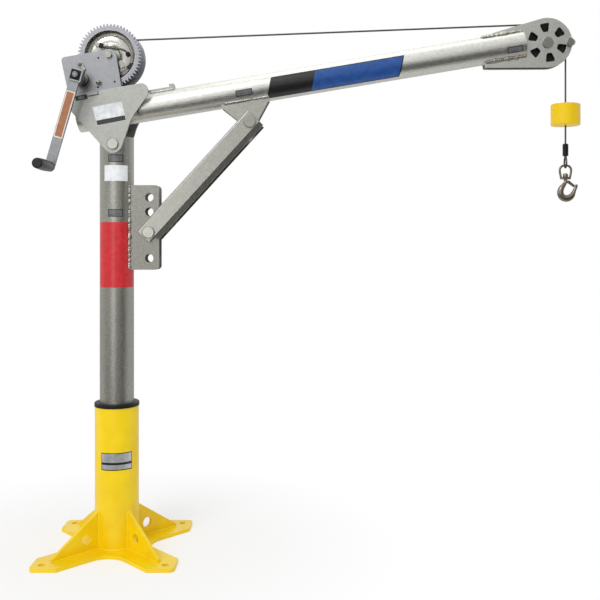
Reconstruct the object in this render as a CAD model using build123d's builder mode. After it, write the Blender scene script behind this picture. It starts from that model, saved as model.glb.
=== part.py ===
"""A portable davit crane: a bolted pedestal, a turning mast, a propped tube boom and a hand winch.

The frame is in millimetres. The origin is the centre of the base plate's underside, +Z is up,
+X runs towards the boom's tip and -Y is the side with the crank.
"""
from build123d import *
from math import acos, asin, atan2, cos, degrees, hypot, pi, radians, sin, sqrt, tan
import os

os.makedirs("parts", exist_ok=True)

# Clearances
running_gap = 0.08
face_gap = 0.3

# Pedestal: base plate, socket, gussets and bearings
base_thickness = 9.5
base_notch_start = 68.0
base_notch_radius = 57.0
base_corner_radius = 13.0
bolt_spacing = 304.8
bolt_edge_distance = 25.4
bolt_hole_diameter = 17.5
socket_diameter = 114.3
socket_wall = 6.0
socket_height = 364.5
gusset_thickness = 9.5
gusset_reach = 189.0
gusset_height = 97.0
gusset_toe = 6.0
gusset_hole_diameter = 27.0
gusset_hole_reach = 93.0
gusset_hole_height = 33.0
bushing_rim_height = 10.0
bushing_rim_overhang = 1.3
bushing_rim_fillet = 2.5
bushing_sleeve_length = 60.0
pad_floor = 8.0
pad_cup_height = 45.0

# Mast
mast_diameter = 88.9
mast_wall = 5.5
mast_top_rise = 21.0
mast_lug_drop = 105.0
mast_lug_height = 222.0
mast_lug_edge = 115.0
mast_lug_corner = 10.0
lug_half_gap = 17.0
lug_thickness = 6.0
lug_hole_reach = 89.5
lug_hole_diameter = 22.4
lug_hole_rises = (30.0, 98.0, 152.0, 190.0)
strut_hole_index = 1

# Boom
boom_angle = 9.5
boom_axis_height = 1148.5
boom_diameter = 73.0
boom_wall = 5.2
boom_rear = -102.0
boom_front = 1091.0
boom_pin_reach = 353.4
boom_pin_drop = 28.0
boom_lug_top_rear = 279.0
boom_lug_top_front = 404.0
boom_lug_toe_rear = 319.0
boom_lug_toe_rise = 6.5
boom_lug_foot_rear = 335.0
boom_lug_foot_front = 368.0
boom_lug_foot_drop = 15.0
boom_lug_toe_front = 378.0
boom_lug_front_rise = 10.5
strap_start = 96.0
strap_length = 66.0
strap_width = 32.0
strap_thickness = 5.0
strap_block_length = 12.0
strap_block_height = 7.0

# Head plates, which join the boom to the mast and carry the winch. A point is X and its rise above
# the place where the boom's axis passes the mast
head_half_gap = 45.0
head_thickness = 6.0
head_lobe_radius = 24.0
head_top_level = 55.3
head_top_front = 100.0
head_notch_end = -27.0
head_notch_play = 5.0
head_notch_gap = 2.0
head_rear_top = -96.0
head_rear_low = (-109.5, -2.5)
head_waist = (38.5, -50.5)
head_waist_middle = (48.0, -24.5)
head_shoulder = (62.5, -2.5)
head_front_low = (91.5, 39.5)
head_corner_radius = 16.0
head_pin_drop = 88.5
head_pin_diameter = 19.0
head_pin_head_diameter = 30.0
head_pin_head_thickness = 5.0
cheek_height = 36.0
cheek_rear = -85.0
cheek_front = 60.0

# Strut between the mast lug and the boom lug
strut_half_width = 33.0
strut_sheet = 3.5
strut_back = 25.0
strut_crease = 17.8
strut_lip_depth = 13.7
strut_lip_angle = 22.0
strut_bend_radius = 5.0
strut_end = 17.5
strut_lip_relief = 20.0
strut_back_slot = 25.5
strut_slot_low = 72.0
strut_slot_high = 30.0
strut_pin_diameter = 22.2
strut_pin_head_diameter = 32.0
strut_pin_head_thickness = 6.0
pin_chamfer = 1.5
pin_tail = 12.0

# Boom tip
sheave_along = 1150.4
sheave_below = 8.0
tip_half_gap = 12.0
tip_thickness = 5.0
tip_head_radius = 65.0
tip_tail_start = 979.0
tip_tail_half_height = 41.0
tip_tail_drop = 5.0
tip_hole_count = 6
tip_hole_reach = 39.5
tip_hole_length = 23.0
tip_hole_outer_width = 27.0
tip_hole_flare = 74.0
tip_hole_radius = 4.5
sheave_pin_diameter = 19.0
sheave_pin_head_diameter = 29.0
sheave_pin_head_thickness = 5.0
rope_diameter = 4.8
sheave_rope_radius = 52.5
sheave_flange_radius = 55.0
sheave_width = 13.5
sheave_hub_diameter = 34.0
sheave_web_width = 8.0
sheave_web_outer = 40.0
sheave_lip = 2.0
sheave_groove_dip = 0.4
keeper_reach = 60.0
keeper_diameter = 8.0
keeper_head_diameter = 21.0
keeper_head_thickness = 7.0

# Winch frame
winch_base_thickness = 9.5
winch_base_inset = 30.0
winch_rear = -112.0
winch_front = 31.0
winch_top = 157.0
winch_half_gap = 40.0
winch_plate_thickness = 4.0
winch_floor_thickness = 3.0
winch_floor_front = -18.0
winch_rear_corner = 10.0
winch_front_corner = 15.0
winch_rear_taper = 4.0
winch_hole_diameter = 5.0
winch_hole_places = ((-16.0, 139.8), (16.0, 72.0), (-30.0, 65.0))
pawl_pivot = (-66.0, 131.0)
pawl_radius = 7.5
pawl_tip = (-56.0, 116.5)
pawl_tip_radius = 3.0
pawl_thickness = 5.0
pawl_bolt_radius = 5.5
pawl_bolt_height = 4.0
drum_along = 12.0
drum_across = 143.5
drum_shaft_diameter = 12.7
drum_nut_radius = 9.0
drum_nut_thickness = 7.0
drum_end_gap = 1.0

# Drum gear and pinion
gear_module = 2.9
gear_teeth = 56
pinion_teeth = 9
pressure_angle = 20.0
profile_shift = 0.4
tooth_backlash = 0.35
root_clearance = 0.25
crank_direction = 213.3
gear_face_near = -35.0
gear_face_width = 6.0
pinion_face_width = 8.0
dish_rim_radius = 66.0
dish_floor_radius = 57.0
dish_floor_near = -20.0
dish_sheet = 3.0
ridge_inner_radius = 27.0
ridge_outer_radius = 53.0
ridge_rise = 3.0
ridge_slope = 3.0
drum_hub_radius = 16.0
drum_core_radius = 25.0
drum_flange_radius = 83.0
drum_flange_near = 26.0
drum_flange_thickness = 3.0
wraps_radius = 43.5
wraps_end_gap = 0.3
rope_lap_angle = 80.0

# Rope clamps and the rope's tail in the dish of the gear
clamp_places = ((-29.0, 29.0), (29.0, -22.0))
clamp_turns = (-20.0, -60.0)
clamp_length = 20.0
clamp_width = 12.0
clamp_height = 9.0
clamp_corner = 2.0
tail_leaves = 25.0
tail_shoulder = (38.0, 26.0)
tail_cap_place = (47.0, 5.0)
tail_cap_radius = 6.0
tail_cap_height = 11.0

# Crank
pinion_shaft_diameter = 18.0
shaft_ring_thickness = 3.0
brake_disc_radius = 18.5
brake_disc_near = -60.0
brake_groove_depth = 3.0
brake_groove_width = 4.0
crank_boss_radius = 13.0
crank_hub_side = 34.0
crank_hub_back = -88.0
crank_hub_front = -108.0
crank_hub_corner = 3.0
crank_pad_side = 25.0
crank_pad_thickness = 1.5
crank_pad_corner = 1.0
crank_nut_radius = 9.0
crank_nut_thickness = 4.0
crank_nut_bore = 5.0
arm_length = 241.0
arm_tilt = 16.1
arm_width = 25.4
arm_thickness = 7.0
arm_back = -98.0
spindle_diameter = 12.0
spindle_shoulder_radius = 9.0
grip_near = -205.0
grip_back = -108.0
grip_radius = 14.3
grip_waist_radius = 12.8
grip_end_wall = 3.5
grip_end_fillet = 4.0

# Hook line. Rises and drops are from the hook's neck, which hangs below the sheave's axis
hook_drop = 363.15
float_rise = 147.0
float_height = 56.0
float_diameter = 76.0
float_edge = 3.0
sleeve_rise = 66.0
sleeve_length = 33.0
sleeve_radius = 7.5
sleeve_chamfer = 1.5
sleeve_shoulder = 4.0
eye_rise = 33.0
eye_half_width = 8.3
eye_neck_length = 4.0
eye_side_length = 16.0
eye_bend = 6.0
eye_low_bend = 7.6
bail_bar_radius = 2.9
bail_half_width = 15.0
bail_bend = 12.0
bail_shoulder_rise = 25.0
bail_foot_rise = 8.5
bail_foot_half_width = 12.0
bail_boss_half_length = 7.0
bail_boss_radius = 7.0
bail_boss_rise = 4.5
bail_boss_height = 6.0
swivel_stem_radius = 3.2
swivel_head_radius = 6.8
swivel_head_height = 9.5
swivel_head_crown = 4.5
hook_centres = ((0.5, 0.0), (-3.0, -8.5), (-10.0, -18.0), (-13.4, -30.0), (-9.5, -41.0), (0.0, -46.0),
                (12.0, -43.0), (20.5, -33.0), (25.0, -22.0), (30.0, -9.0))
hook_radii = (4.2, 5.2, 7.3, 8.6, 9.0, 9.2, 8.4, 6.2, 4.4, 2.4)
latch_pivot = (8.0, -2.5)
latch_pin_radius = 1.5
latch_eye_radius = 3.4
latch_half_width = 3.0
latch_length = 18.5
latch_angle = -38.0
latch_root_height = 7.0
latch_end_height = 5.5
latch_ear_thickness = 2.0
hook_collar_radius = 5.0

# Places worked out from the sizes above
slope = radians(boom_angle)
base_side = bolt_spacing + 2 * bolt_edge_distance
mast_radius = mast_diameter / 2
boom_radius = boom_diameter / 2
socket_radius = socket_diameter / 2
socket_bore = socket_radius - socket_wall
socket_top = base_thickness + socket_height
mast_foot = base_thickness + pad_floor + face_gap
head_pin_height = boom_axis_height - head_pin_drop
mast_top = head_pin_height + mast_top_rise
mast_lug_top = head_pin_height - mast_lug_drop
mast_lug_bottom = mast_lug_top - mast_lug_height
boom_pin_height = boom_axis_height - boom_pin_drop
lug_outer = lug_half_gap + lug_thickness
head_outer = head_half_gap + head_thickness
winch_outer = winch_half_gap + winch_plate_thickness
rope_radius = rope_diameter / 2
strut_low = (lug_hole_reach, mast_lug_bottom + lug_hole_rises[strut_hole_index])
strut_high = (boom_pin_reach, boom_pin_height)
strut_length = hypot(strut_high[0] - strut_low[0], strut_high[1] - strut_low[1])
gear_centres = gear_module * (gear_teeth + pinion_teeth) / 2
crank_along = drum_along + gear_centres * cos(radians(crank_direction))
crank_across = drum_across + gear_centres * sin(radians(crank_direction))


def boom_point(along, across):
    """X and Z of a point given along the boom's axis and across it, from where the axis passes the mast."""
    x = along * cos(slope) - across * sin(slope)
    z = boom_axis_height + along * sin(slope) + across * cos(slope)
    return x, z


def head_point(place):
    """X and Z of a point given by X and its rise above the place where the boom's axis passes the mast."""
    return place[0], boom_axis_height + place[1]


def side_plane(y, place=(0.0, 0.0), turn=0.0):
    """An upright plane seen from the crank's side, looking towards -Y, its X turned up by turn degrees."""
    x_dir = (cos(radians(turn)), 0, sin(radians(turn)))
    return Plane(origin=(place[0], y, place[1]), x_dir=x_dir, z_dir=(0, -1, 0))


def boom_plane(y):
    """The same plane tilted with the boom, so that its X runs along the boom's axis."""
    return Plane(origin=(0, y, boom_axis_height), x_dir=(cos(slope), 0, sin(slope)), z_dir=(0, -1, 0))


def spin_plane(place):
    """A level plane through a shaft that runs along Y: its X is the radius and its Y is Y."""
    return Plane(origin=(place[0], 0, place[1]), x_dir=(1, 0, 0), z_dir=(0, 0, 1))


def shaft_axis(place):
    """The axis along Y through a point of the side view."""
    return Axis((place[0], 0, place[1]), (0, 1, 0))


def upright_plane(x):
    """An upright plane through a vertical axis at X: its X is the radius and its Y is Z."""
    return Plane(origin=(x, 0, 0), x_dir=(1, 0, 0), z_dir=(0, -1, 0))


def upright_axis(x):
    """The vertical axis at X."""
    return Axis((x, 0, 0), (0, 0, 1))


def tangent_point(centre, radius, point, side):
    """Where a line from the point touches the circle, on its left side for +1 and its right for -1."""
    reach = hypot(point[0] - centre[0], point[1] - centre[1])
    towards = atan2(point[1] - centre[1], point[0] - centre[0])
    turned = towards + side * acos(radius / reach)
    return centre[0] + radius * cos(turned), centre[1] + radius * sin(turned)


def polar(radius, angle):
    """X and Y of a point given by its radius and its angle in radians."""
    return radius * cos(angle), radius * sin(angle)


def headed_pin(name, place, shaft_radius, head_radius, head_thickness, head_face, tail_face):
    """A turned pin along Y: its head ends at head_face, on the crank's side, and its shaft at tail_face."""
    head_back = head_face + head_thickness
    with BuildPart() as pin:
        with BuildSketch(spin_plane(place)):
            with BuildLine():
                Polyline((0, head_face), (head_radius - pin_chamfer, head_face),
                         (head_radius, head_face + pin_chamfer), (head_radius, head_back),
                         (shaft_radius, head_back), (shaft_radius, tail_face - pin_chamfer),
                         (shaft_radius - pin_chamfer, tail_face), (0, tail_face), close=True)
            make_face()
        revolve(axis=shaft_axis(place))
    save(pin, name)


def save(builder, name):
    """Labels a finished piece and writes its STEP file."""
    builder.part.label = name
    export_step(builder.part, "parts/" + name + ".step")


drum_place = boom_point(drum_along, drum_across)
crank_place = boom_point(crank_along, crank_across)
sheave_place = boom_point(sheave_along, -sheave_below)
rope_x = sheave_place[0] + sheave_rope_radius
hook_neck = sheave_place[1] - hook_drop

# Base plate: a square cut to a cross by a rounded notch in each side
notch_side = base_side * sqrt(2)
notch_reach = base_notch_start + notch_side / sqrt(2)
with BuildPart() as base_plate:
    with BuildSketch(Plane.XY):
        Rectangle(base_side, base_side)
        with PolarLocations(notch_reach, 4):
            RectangleRounded(notch_side, notch_side, base_notch_radius, rotation=45, mode=Mode.SUBTRACT)
        with GridLocations(bolt_spacing, bolt_spacing, 2, 2):
            Circle(bolt_hole_diameter / 2, mode=Mode.SUBTRACT)
    extrude(amount=base_thickness)
    outer_corners = base_plate.edges().filter_by(Axis.Z).filter_by(
        lambda edge: min(abs(edge.center().X), abs(edge.center().Y)) > bolt_spacing / 2)
    fillet(outer_corners, base_corner_radius)
save(base_plate, "base_plate")

# Socket tube
with BuildPart() as socket_tube:
    with BuildSketch(Plane.XY.offset(base_thickness)):
        Circle(socket_radius)
        Circle(socket_bore, mode=Mode.SUBTRACT)
    extrude(amount=socket_height)
save(socket_tube, "socket_tube")

# Gussets on the diagonals, each scribed to the tube
gusset_names = ("gusset_right_far", "gusset_left_far", "gusset_left_near", "gusset_right_near")
for corner, gusset_name in enumerate(gusset_names):
    turn = radians(45 + 90 * corner)
    outward = Plane(origin=(0, 0, base_thickness), x_dir=(cos(turn), sin(turn), 0),
                    z_dir=(sin(turn), -cos(turn), 0))
    with BuildPart() as gusset:
        with BuildSketch(outward):
            with BuildLine():
                Polyline((socket_bore, 0), (gusset_reach, 0), (gusset_reach, gusset_toe),
                         (socket_radius, gusset_height), (socket_bore, gusset_height), close=True)
            make_face()
            with Locations((gusset_hole_reach, gusset_hole_height)):
                Circle(gusset_hole_diameter / 2, mode=Mode.SUBTRACT)
        extrude(amount=gusset_thickness / 2, both=True)
        with BuildSketch(Plane.XY.offset(base_thickness)):
            Circle(socket_radius)
        extrude(amount=gusset_height, mode=Mode.SUBTRACT)
    save(gusset, gusset_name)

# Plastic bushing at the socket's mouth and the cup that carries the mast's foot
with BuildPart() as socket_bushing:
    with BuildSketch(upright_plane(0)):
        with BuildLine():
            Polyline((mast_radius + running_gap, socket_top - bushing_sleeve_length),
                     (socket_bore - running_gap, socket_top - bushing_sleeve_length),
                     (socket_bore - running_gap, socket_top),
                     (socket_radius + bushing_rim_overhang, socket_top),
                     (socket_radius + bushing_rim_overhang, socket_top + bushing_rim_height),
                     (mast_radius + running_gap, socket_top + bushing_rim_height), close=True)
        make_face()
    revolve(axis=upright_axis(0))
    rim_edges = socket_bushing.faces().sort_by(Axis.Z)[-1].edges()
    fillet(rim_edges.sort_by(SortBy.RADIUS)[-1], bushing_rim_fillet)
save(socket_bushing, "socket_bushing")

with BuildPart() as thrust_cup:
    with BuildSketch(upright_plane(0)):
        with BuildLine():
            Polyline((0, base_thickness), (socket_bore - running_gap, base_thickness),
                     (socket_bore - running_gap, base_thickness + pad_cup_height),
                     (mast_radius + running_gap, base_thickness + pad_cup_height),
                     (mast_radius + running_gap, base_thickness + pad_floor),
                     (0, base_thickness + pad_floor), close=True)
        make_face()
    revolve(axis=upright_axis(0))
save(thrust_cup, "thrust_cup")

# Mast tube with the cross hole for the head pin
with BuildPart() as mast_tube:
    with BuildSketch(Plane.XY.offset(mast_foot)):
        Circle(mast_radius)
        Circle(mast_radius - mast_wall, mode=Mode.SUBTRACT)
    extrude(amount=mast_top - mast_foot)
    with BuildSketch(side_plane(0, (0, head_pin_height))):
        Circle(head_pin_diameter / 2 + running_gap)
    extrude(amount=mast_diameter, both=True, mode=Mode.SUBTRACT)
save(mast_tube, "mast_tube")

# Mast lug: two plates with a row of holes for the strut's lower pin
for lug_name, lug_face in (("mast_lug_near", -lug_half_gap), ("mast_lug_far", lug_outer)):
    with BuildPart() as mast_lug:
        with BuildSketch(side_plane(lug_face)):
            with BuildLine():
                Polyline((0, mast_lug_bottom), (mast_lug_edge, mast_lug_bottom),
                         (mast_lug_edge, mast_lug_top), (0, mast_lug_top), close=True)
            lug_face_sketch = make_face()
            fillet(lug_face_sketch.vertices().group_by(Axis.X)[-1], mast_lug_corner)
            for hole_rise in lug_hole_rises:
                with Locations((lug_hole_reach, mast_lug_bottom + hole_rise)):
                    Circle(lug_hole_diameter / 2, mode=Mode.SUBTRACT)
        extrude(amount=lug_thickness)
        with BuildSketch(Plane.XY.offset(mast_lug_bottom)):
            Circle(mast_radius)
        extrude(amount=mast_lug_top - mast_lug_bottom, mode=Mode.SUBTRACT)
    save(mast_lug, lug_name)

headed_pin("head_pin", (0, head_pin_height), head_pin_diameter / 2, head_pin_head_diameter / 2,
           head_pin_head_thickness, -head_outer - head_pin_head_thickness, head_outer + pin_tail)

# Head plates: a lobe round the head pin, a flared top and a notch that seats the winch base's tab
lobe_centre = (0.0, head_pin_height)
rear_low = head_point(head_rear_low)
waist = head_point(head_waist)
shoulder = head_point(head_shoulder)
front_low = head_point(head_front_low)
lobe_rear = tangent_point(lobe_centre, head_lobe_radius, rear_low, 1)
lobe_front = tangent_point(lobe_centre, head_lobe_radius, waist, -1)
head_notch_level = head_top_level - winch_base_thickness - head_notch_gap
for plate_name, plate_face in (("head_plate_near", -head_half_gap), ("head_plate_far", head_outer)):
    with BuildPart() as head_plate:
        with BuildSketch(side_plane(plate_face)):
            with BuildLine():
                Line(rear_low, lobe_rear)
                ThreePointArc(lobe_rear, (0, head_pin_height - head_lobe_radius), lobe_front)
                Line(lobe_front, waist)
                ThreePointArc(waist, head_point(head_waist_middle), shoulder)
                Line(shoulder, front_low)
                Polyline(front_low, boom_point(head_top_front, head_top_level),
                         boom_point(head_notch_end, head_top_level),
                         boom_point(head_notch_end, head_notch_level),
                         boom_point(head_rear_top, head_notch_level), rear_low)
            plate_outline = make_face()
            top_front = plate_outline.vertices().sort_by(Axis.Y)[-1]
            fillet(top_front, head_corner_radius)
            with Locations(lobe_centre):
                Circle(head_pin_diameter / 2 + running_gap, mode=Mode.SUBTRACT)
        extrude(amount=head_thickness)
    save(head_plate, plate_name)

# Boom tube, open at both ends, slotted at its front for the tip plates
tube_rear = boom_point(boom_rear, 0)
tube_plane = Plane(origin=(tube_rear[0], 0, tube_rear[1]), x_dir=(0, 1, 0), z_dir=(cos(slope), 0, sin(slope)))
with BuildPart() as boom_tube:
    with BuildSketch(tube_plane):
        Circle(boom_radius)
        Circle(boom_radius - boom_wall, mode=Mode.SUBTRACT)
    extrude(amount=boom_front - boom_rear)
    for slot_face in (-tip_half_gap, tip_half_gap + tip_thickness):
        with BuildSketch(boom_plane(slot_face)):
            with BuildLine():
                Polyline((tip_tail_start, -boom_radius), (boom_front, -boom_radius),
                         (boom_front, boom_radius), (tip_tail_start, boom_radius), close=True)
            make_face()
        extrude(amount=tip_thickness, mode=Mode.SUBTRACT)
save(boom_tube, "boom_tube")

# Cheeks that fill the gap between the boom tube and each head plate
for cheek_name, cheek_start in (("boom_cheek_near", 0.0), ("boom_cheek_far", head_half_gap)):
    with BuildPart() as boom_cheek:
        with BuildSketch(boom_plane(cheek_start)):
            with Locations(((cheek_rear + cheek_front) / 2, 0)):
                Rectangle(cheek_front - cheek_rear, cheek_height)
        extrude(amount=head_half_gap)
        with BuildSketch(tube_plane):
            Circle(boom_radius)
        extrude(amount=boom_front - boom_rear, mode=Mode.SUBTRACT)
    save(boom_cheek, cheek_name)

# Small strap welded along the top of the boom, with a stop block
with BuildPart() as boom_strap:
    with BuildSketch(boom_plane(strap_width / 2)):
        with BuildLine():
            strap_level = boom_radius + strap_thickness
            strap_end = strap_start + strap_length
            Polyline((strap_start, 0), (strap_end, 0), (strap_end, strap_level + strap_block_height),
                     (strap_end - strap_block_length, strap_level + strap_block_height),
                     (strap_end - strap_block_length, strap_level), (strap_start, strap_level), close=True)
        make_face()
    extrude(amount=strap_width)
    with BuildSketch(tube_plane):
        Circle(boom_radius)
    extrude(amount=boom_front - boom_rear, mode=Mode.SUBTRACT)
save(boom_strap, "boom_strap")

# Boom lug: two plates under the boom for the strut's upper pin
boom_lug_foot = boom_pin_height - boom_lug_foot_drop
for lug_name, lug_face in (("boom_lug_near", -lug_half_gap), ("boom_lug_far", lug_outer)):
    with BuildPart() as boom_lug:
        with BuildSketch(side_plane(lug_face)):
            with BuildLine():
                Polyline((boom_lug_toe_rear, boom_pin_height + boom_lug_toe_rise),
                         (boom_lug_foot_rear, boom_lug_foot), (boom_lug_foot_front, boom_lug_foot),
                         (boom_lug_toe_front, boom_pin_height + boom_lug_front_rise),
                         (boom_lug_top_front, boom_point(boom_lug_top_front, -boom_radius)[1]),
                         (boom_lug_top_front, boom_point(boom_lug_top_front, 0)[1]),
                         (boom_lug_top_rear, boom_point(boom_lug_top_rear, 0)[1]),
                         (boom_lug_top_rear, boom_point(boom_lug_top_rear, -boom_radius)[1]), close=True)
            make_face()
            with Locations((boom_pin_reach, boom_pin_height)):
                Circle(lug_hole_diameter / 2, mode=Mode.SUBTRACT)
        extrude(amount=lug_thickness)
        with BuildSketch(tube_plane):
            Circle(boom_radius)
        extrude(amount=boom_front - boom_rear, mode=Mode.SUBTRACT)
    save(boom_lug, lug_name)

# Strut: a folded channel with lips, open below, that straddles both lugs
strut_turn = atan2(strut_high[1] - strut_low[1], strut_high[0] - strut_low[0])
strut_along = (cos(strut_turn), 0, sin(strut_turn))
strut_foot = (strut_low[0] - strut_end * strut_along[0], 0, strut_low[1] - strut_end * strut_along[2])
strut_section = Plane(origin=strut_foot, x_dir=(0, 1, 0), z_dir=strut_along)
strut_side = Plane(origin=(strut_low[0], 0, strut_low[1]), x_dir=strut_along, z_dir=(0, -1, 0))
lip_inset = strut_lip_depth * tan(radians(strut_lip_angle))
inner_half = strut_half_width - strut_sheet
lip_sheet = strut_sheet / cos(radians(strut_lip_angle))
# The section's Y points away from the strut's back, so its back is at -strut_back
with BuildPart() as strut:
    with BuildSketch(strut_section):
        with BuildLine():
            lip_edge = -(strut_crease + strut_lip_depth)
            Polyline((-strut_half_width, -strut_crease), (-strut_half_width, strut_back),
                     (strut_half_width, strut_back), (strut_half_width, -strut_crease),
                     (strut_half_width - lip_inset, lip_edge),
                     (strut_half_width - lip_inset - lip_sheet, lip_edge),
                     (inner_half, -strut_crease), (inner_half, strut_back - strut_sheet),
                     (-inner_half, strut_back - strut_sheet), (-inner_half, -strut_crease),
                     (lip_inset + lip_sheet - strut_half_width, lip_edge),
                     (lip_inset - strut_half_width, lip_edge), close=True)
        strut_profile = make_face()
        back_corners = strut_profile.vertices().group_by(Axis.Y)[-1]
        fillet(back_corners, strut_bend_radius)
    extrude(amount=strut_length + 2 * strut_end)
    for pin_along in (0, strut_length):
        with BuildSketch(strut_side):
            with Locations((pin_along, 0)):
                Circle(strut_pin_diameter / 2 + running_gap)
        extrude(amount=strut_half_width, both=True, mode=Mode.SUBTRACT)
    # Slots in the back that let the two lugs pass
    for slot_start, slot_end in ((-strut_end, strut_slot_low), (strut_length - strut_slot_high,
                                                                strut_length + strut_end)):
        with BuildSketch(strut_side):
            with BuildLine():
                Polyline((slot_start, 0), (slot_end, 0), (slot_end, strut_back), (slot_start, strut_back),
                         close=True)
            make_face()
        extrude(amount=strut_back_slot, both=True, mode=Mode.SUBTRACT)
    # The lips stop short of the lower end
    with BuildSketch(strut_side):
        with BuildLine():
            Polyline((-strut_end, -strut_crease), (strut_lip_relief - strut_end, -strut_crease),
                     (strut_lip_relief - strut_end, -strut_crease - strut_lip_depth),
                     (-strut_end, -strut_crease - strut_lip_depth), close=True)
        make_face()
    extrude(amount=strut_half_width, both=True, mode=Mode.SUBTRACT)
save(strut, "strut")

for pin_name, pin_place in (("strut_pin_lower", strut_low), ("strut_pin_upper", strut_high)):
    headed_pin(pin_name, pin_place, strut_pin_diameter / 2, strut_pin_head_diameter / 2,
               strut_pin_head_thickness, -strut_half_width - strut_pin_head_thickness,
               strut_half_width + pin_tail)

# Tip plates: a tail in the tube's slots, a round head and lightening holes round the sheave pin
tail_rear_top = (tip_tail_start, tip_tail_half_height - tip_tail_drop)
tail_rear_low = (tip_tail_start, -tip_tail_half_height - tip_tail_drop)
head_centre = (sheave_along, -sheave_below)
head_touch_top = tangent_point(head_centre, tip_head_radius, tail_rear_top, -1)
head_touch_low = tangent_point(head_centre, tip_head_radius, tail_rear_low, 1)
head_nose = (sheave_along + tip_head_radius, -sheave_below)
tip_outer = tip_half_gap + tip_thickness
for plate_name, plate_face in (("tip_plate_near", -tip_half_gap), ("tip_plate_far", tip_outer)):
    with BuildPart() as tip_plate:
        with BuildSketch(boom_plane(plate_face)):
            with BuildLine():
                Line(tail_rear_low, tail_rear_top)
                Line(tail_rear_top, head_touch_top)
                ThreePointArc(head_touch_top, head_nose, head_touch_low)
                Line(head_touch_low, tail_rear_low)
            make_face()
            with Locations(head_centre):
                Circle(sheave_pin_diameter / 2 + running_gap, mode=Mode.SUBTRACT)
            keeper_turn = -slope
            with Locations((head_centre[0] + keeper_reach * cos(keeper_turn),
                            head_centre[1] + keeper_reach * sin(keeper_turn))):
                Circle(keeper_diameter / 2 + running_gap, mode=Mode.SUBTRACT)
        extrude(amount=tip_thickness)
        with BuildSketch(boom_plane(plate_face)) as lightening:
            with Locations(head_centre):
                with PolarLocations(tip_hole_reach, tip_hole_count, start_angle=180 / tip_hole_count):
                    Trapezoid(tip_hole_outer_width, tip_hole_length, tip_hole_flare, rotation=90)
            fillet(lightening.vertices(), tip_hole_radius)
        extrude(amount=tip_thickness, mode=Mode.SUBTRACT)
    save(tip_plate, plate_name)

headed_pin("sheave_pin", sheave_place, sheave_pin_diameter / 2, sheave_pin_head_diameter / 2,
           sheave_pin_head_thickness, -tip_outer - sheave_pin_head_thickness, tip_outer + pin_tail)
keeper_place = (sheave_place[0] + keeper_reach, sheave_place[1])
headed_pin("rope_keeper", keeper_place, keeper_diameter / 2, keeper_head_diameter / 2,
           keeper_head_thickness, -tip_outer - keeper_head_thickness, tip_outer + pin_tail)

# Sheave: a grooved wheel whose hub fills the gap between the tip plates
groove_root = sheave_rope_radius - rope_radius - face_gap
sheave_bore = sheave_pin_diameter / 2 + running_gap
sheave_hub = sheave_hub_diameter / 2
hub_face = tip_half_gap - face_gap
web_face = sheave_web_width / 2
rim_face = sheave_width / 2
with BuildPart() as sheave:
    with BuildSketch(spin_plane(sheave_place)):
        with BuildLine():
            Polyline((sheave_bore, -hub_face), (sheave_hub, -hub_face), (sheave_hub, -web_face),
                     (sheave_web_outer, -web_face), (sheave_web_outer, -rim_face),
                     (sheave_flange_radius, -rim_face), (sheave_flange_radius, sheave_lip - rim_face),
                     (groove_root, -rope_radius))
            ThreePointArc((groove_root, -rope_radius), (groove_root - sheave_groove_dip, 0),
                          (groove_root, rope_radius))
            Polyline((groove_root, rope_radius), (sheave_flange_radius, rim_face - sheave_lip),
                     (sheave_flange_radius, rim_face), (sheave_web_outer, rim_face),
                     (sheave_web_outer, web_face), (sheave_hub, web_face), (sheave_hub, hub_face),
                     (sheave_bore, hub_face), (sheave_bore, -hub_face))
        make_face()
    revolve(axis=shaft_axis(sheave_place))
save(sheave, "sheave")

# Winch base: held between the head plates, with a tab in the notch of each
with BuildPart() as winch_base:
    base_across = head_top_level - winch_base_thickness / 2
    base_front = head_top_front - winch_base_inset
    tab_front = head_notch_end - head_notch_play
    with BuildSketch(boom_plane(head_outer)):
        with Locations(((winch_rear + tab_front) / 2, base_across)):
            Rectangle(tab_front - winch_rear, winch_base_thickness)
    extrude(amount=2 * head_outer)
    with BuildSketch(boom_plane(head_half_gap)):
        with Locations(((tab_front + base_front) / 2, base_across)):
            Rectangle(base_front - tab_front, winch_base_thickness)
    extrude(amount=2 * head_half_gap)
save(winch_base, "winch_base")

# Winch frame: a floor behind the drum and two side plates
with BuildPart() as winch_floor:
    with BuildSketch(boom_plane(winch_half_gap)):
        floor_rear = winch_rear + winch_rear_taper
        with Locations(((floor_rear + winch_floor_front) / 2, head_top_level + winch_floor_thickness / 2)):
            Rectangle(winch_floor_front - floor_rear, winch_floor_thickness)
    extrude(amount=2 * winch_half_gap)
save(winch_floor, "winch_floor")

for plate_name, plate_face in (("winch_plate_near", -winch_half_gap), ("winch_plate_far", winch_outer)):
    with BuildPart() as winch_plate:
        with BuildSketch(boom_plane(plate_face)) as winch_outline:
            with BuildLine():
                Polyline((winch_rear + winch_rear_taper, head_top_level), (winch_front, head_top_level),
                         (winch_front, winch_top), (winch_rear, winch_top), close=True)
            make_face()
            for corner_index, corner_radius in ((0, winch_rear_corner), (-1, winch_front_corner)):
                top_corners = winch_outline.vertices().group_by(Axis.Y)[-1].sort_by(Axis.X)
                fillet(top_corners[corner_index], corner_radius)
            with Locations((drum_along, drum_across)):
                Circle(drum_shaft_diameter / 2 + running_gap, mode=Mode.SUBTRACT)
            with Locations((crank_along, crank_across)):
                Circle(pinion_shaft_diameter / 2 + running_gap, mode=Mode.SUBTRACT)
            with Locations(*winch_hole_places):
                Circle(winch_hole_diameter / 2, mode=Mode.SUBTRACT)
        extrude(amount=winch_plate_thickness)
    save(winch_plate, plate_name)

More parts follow.
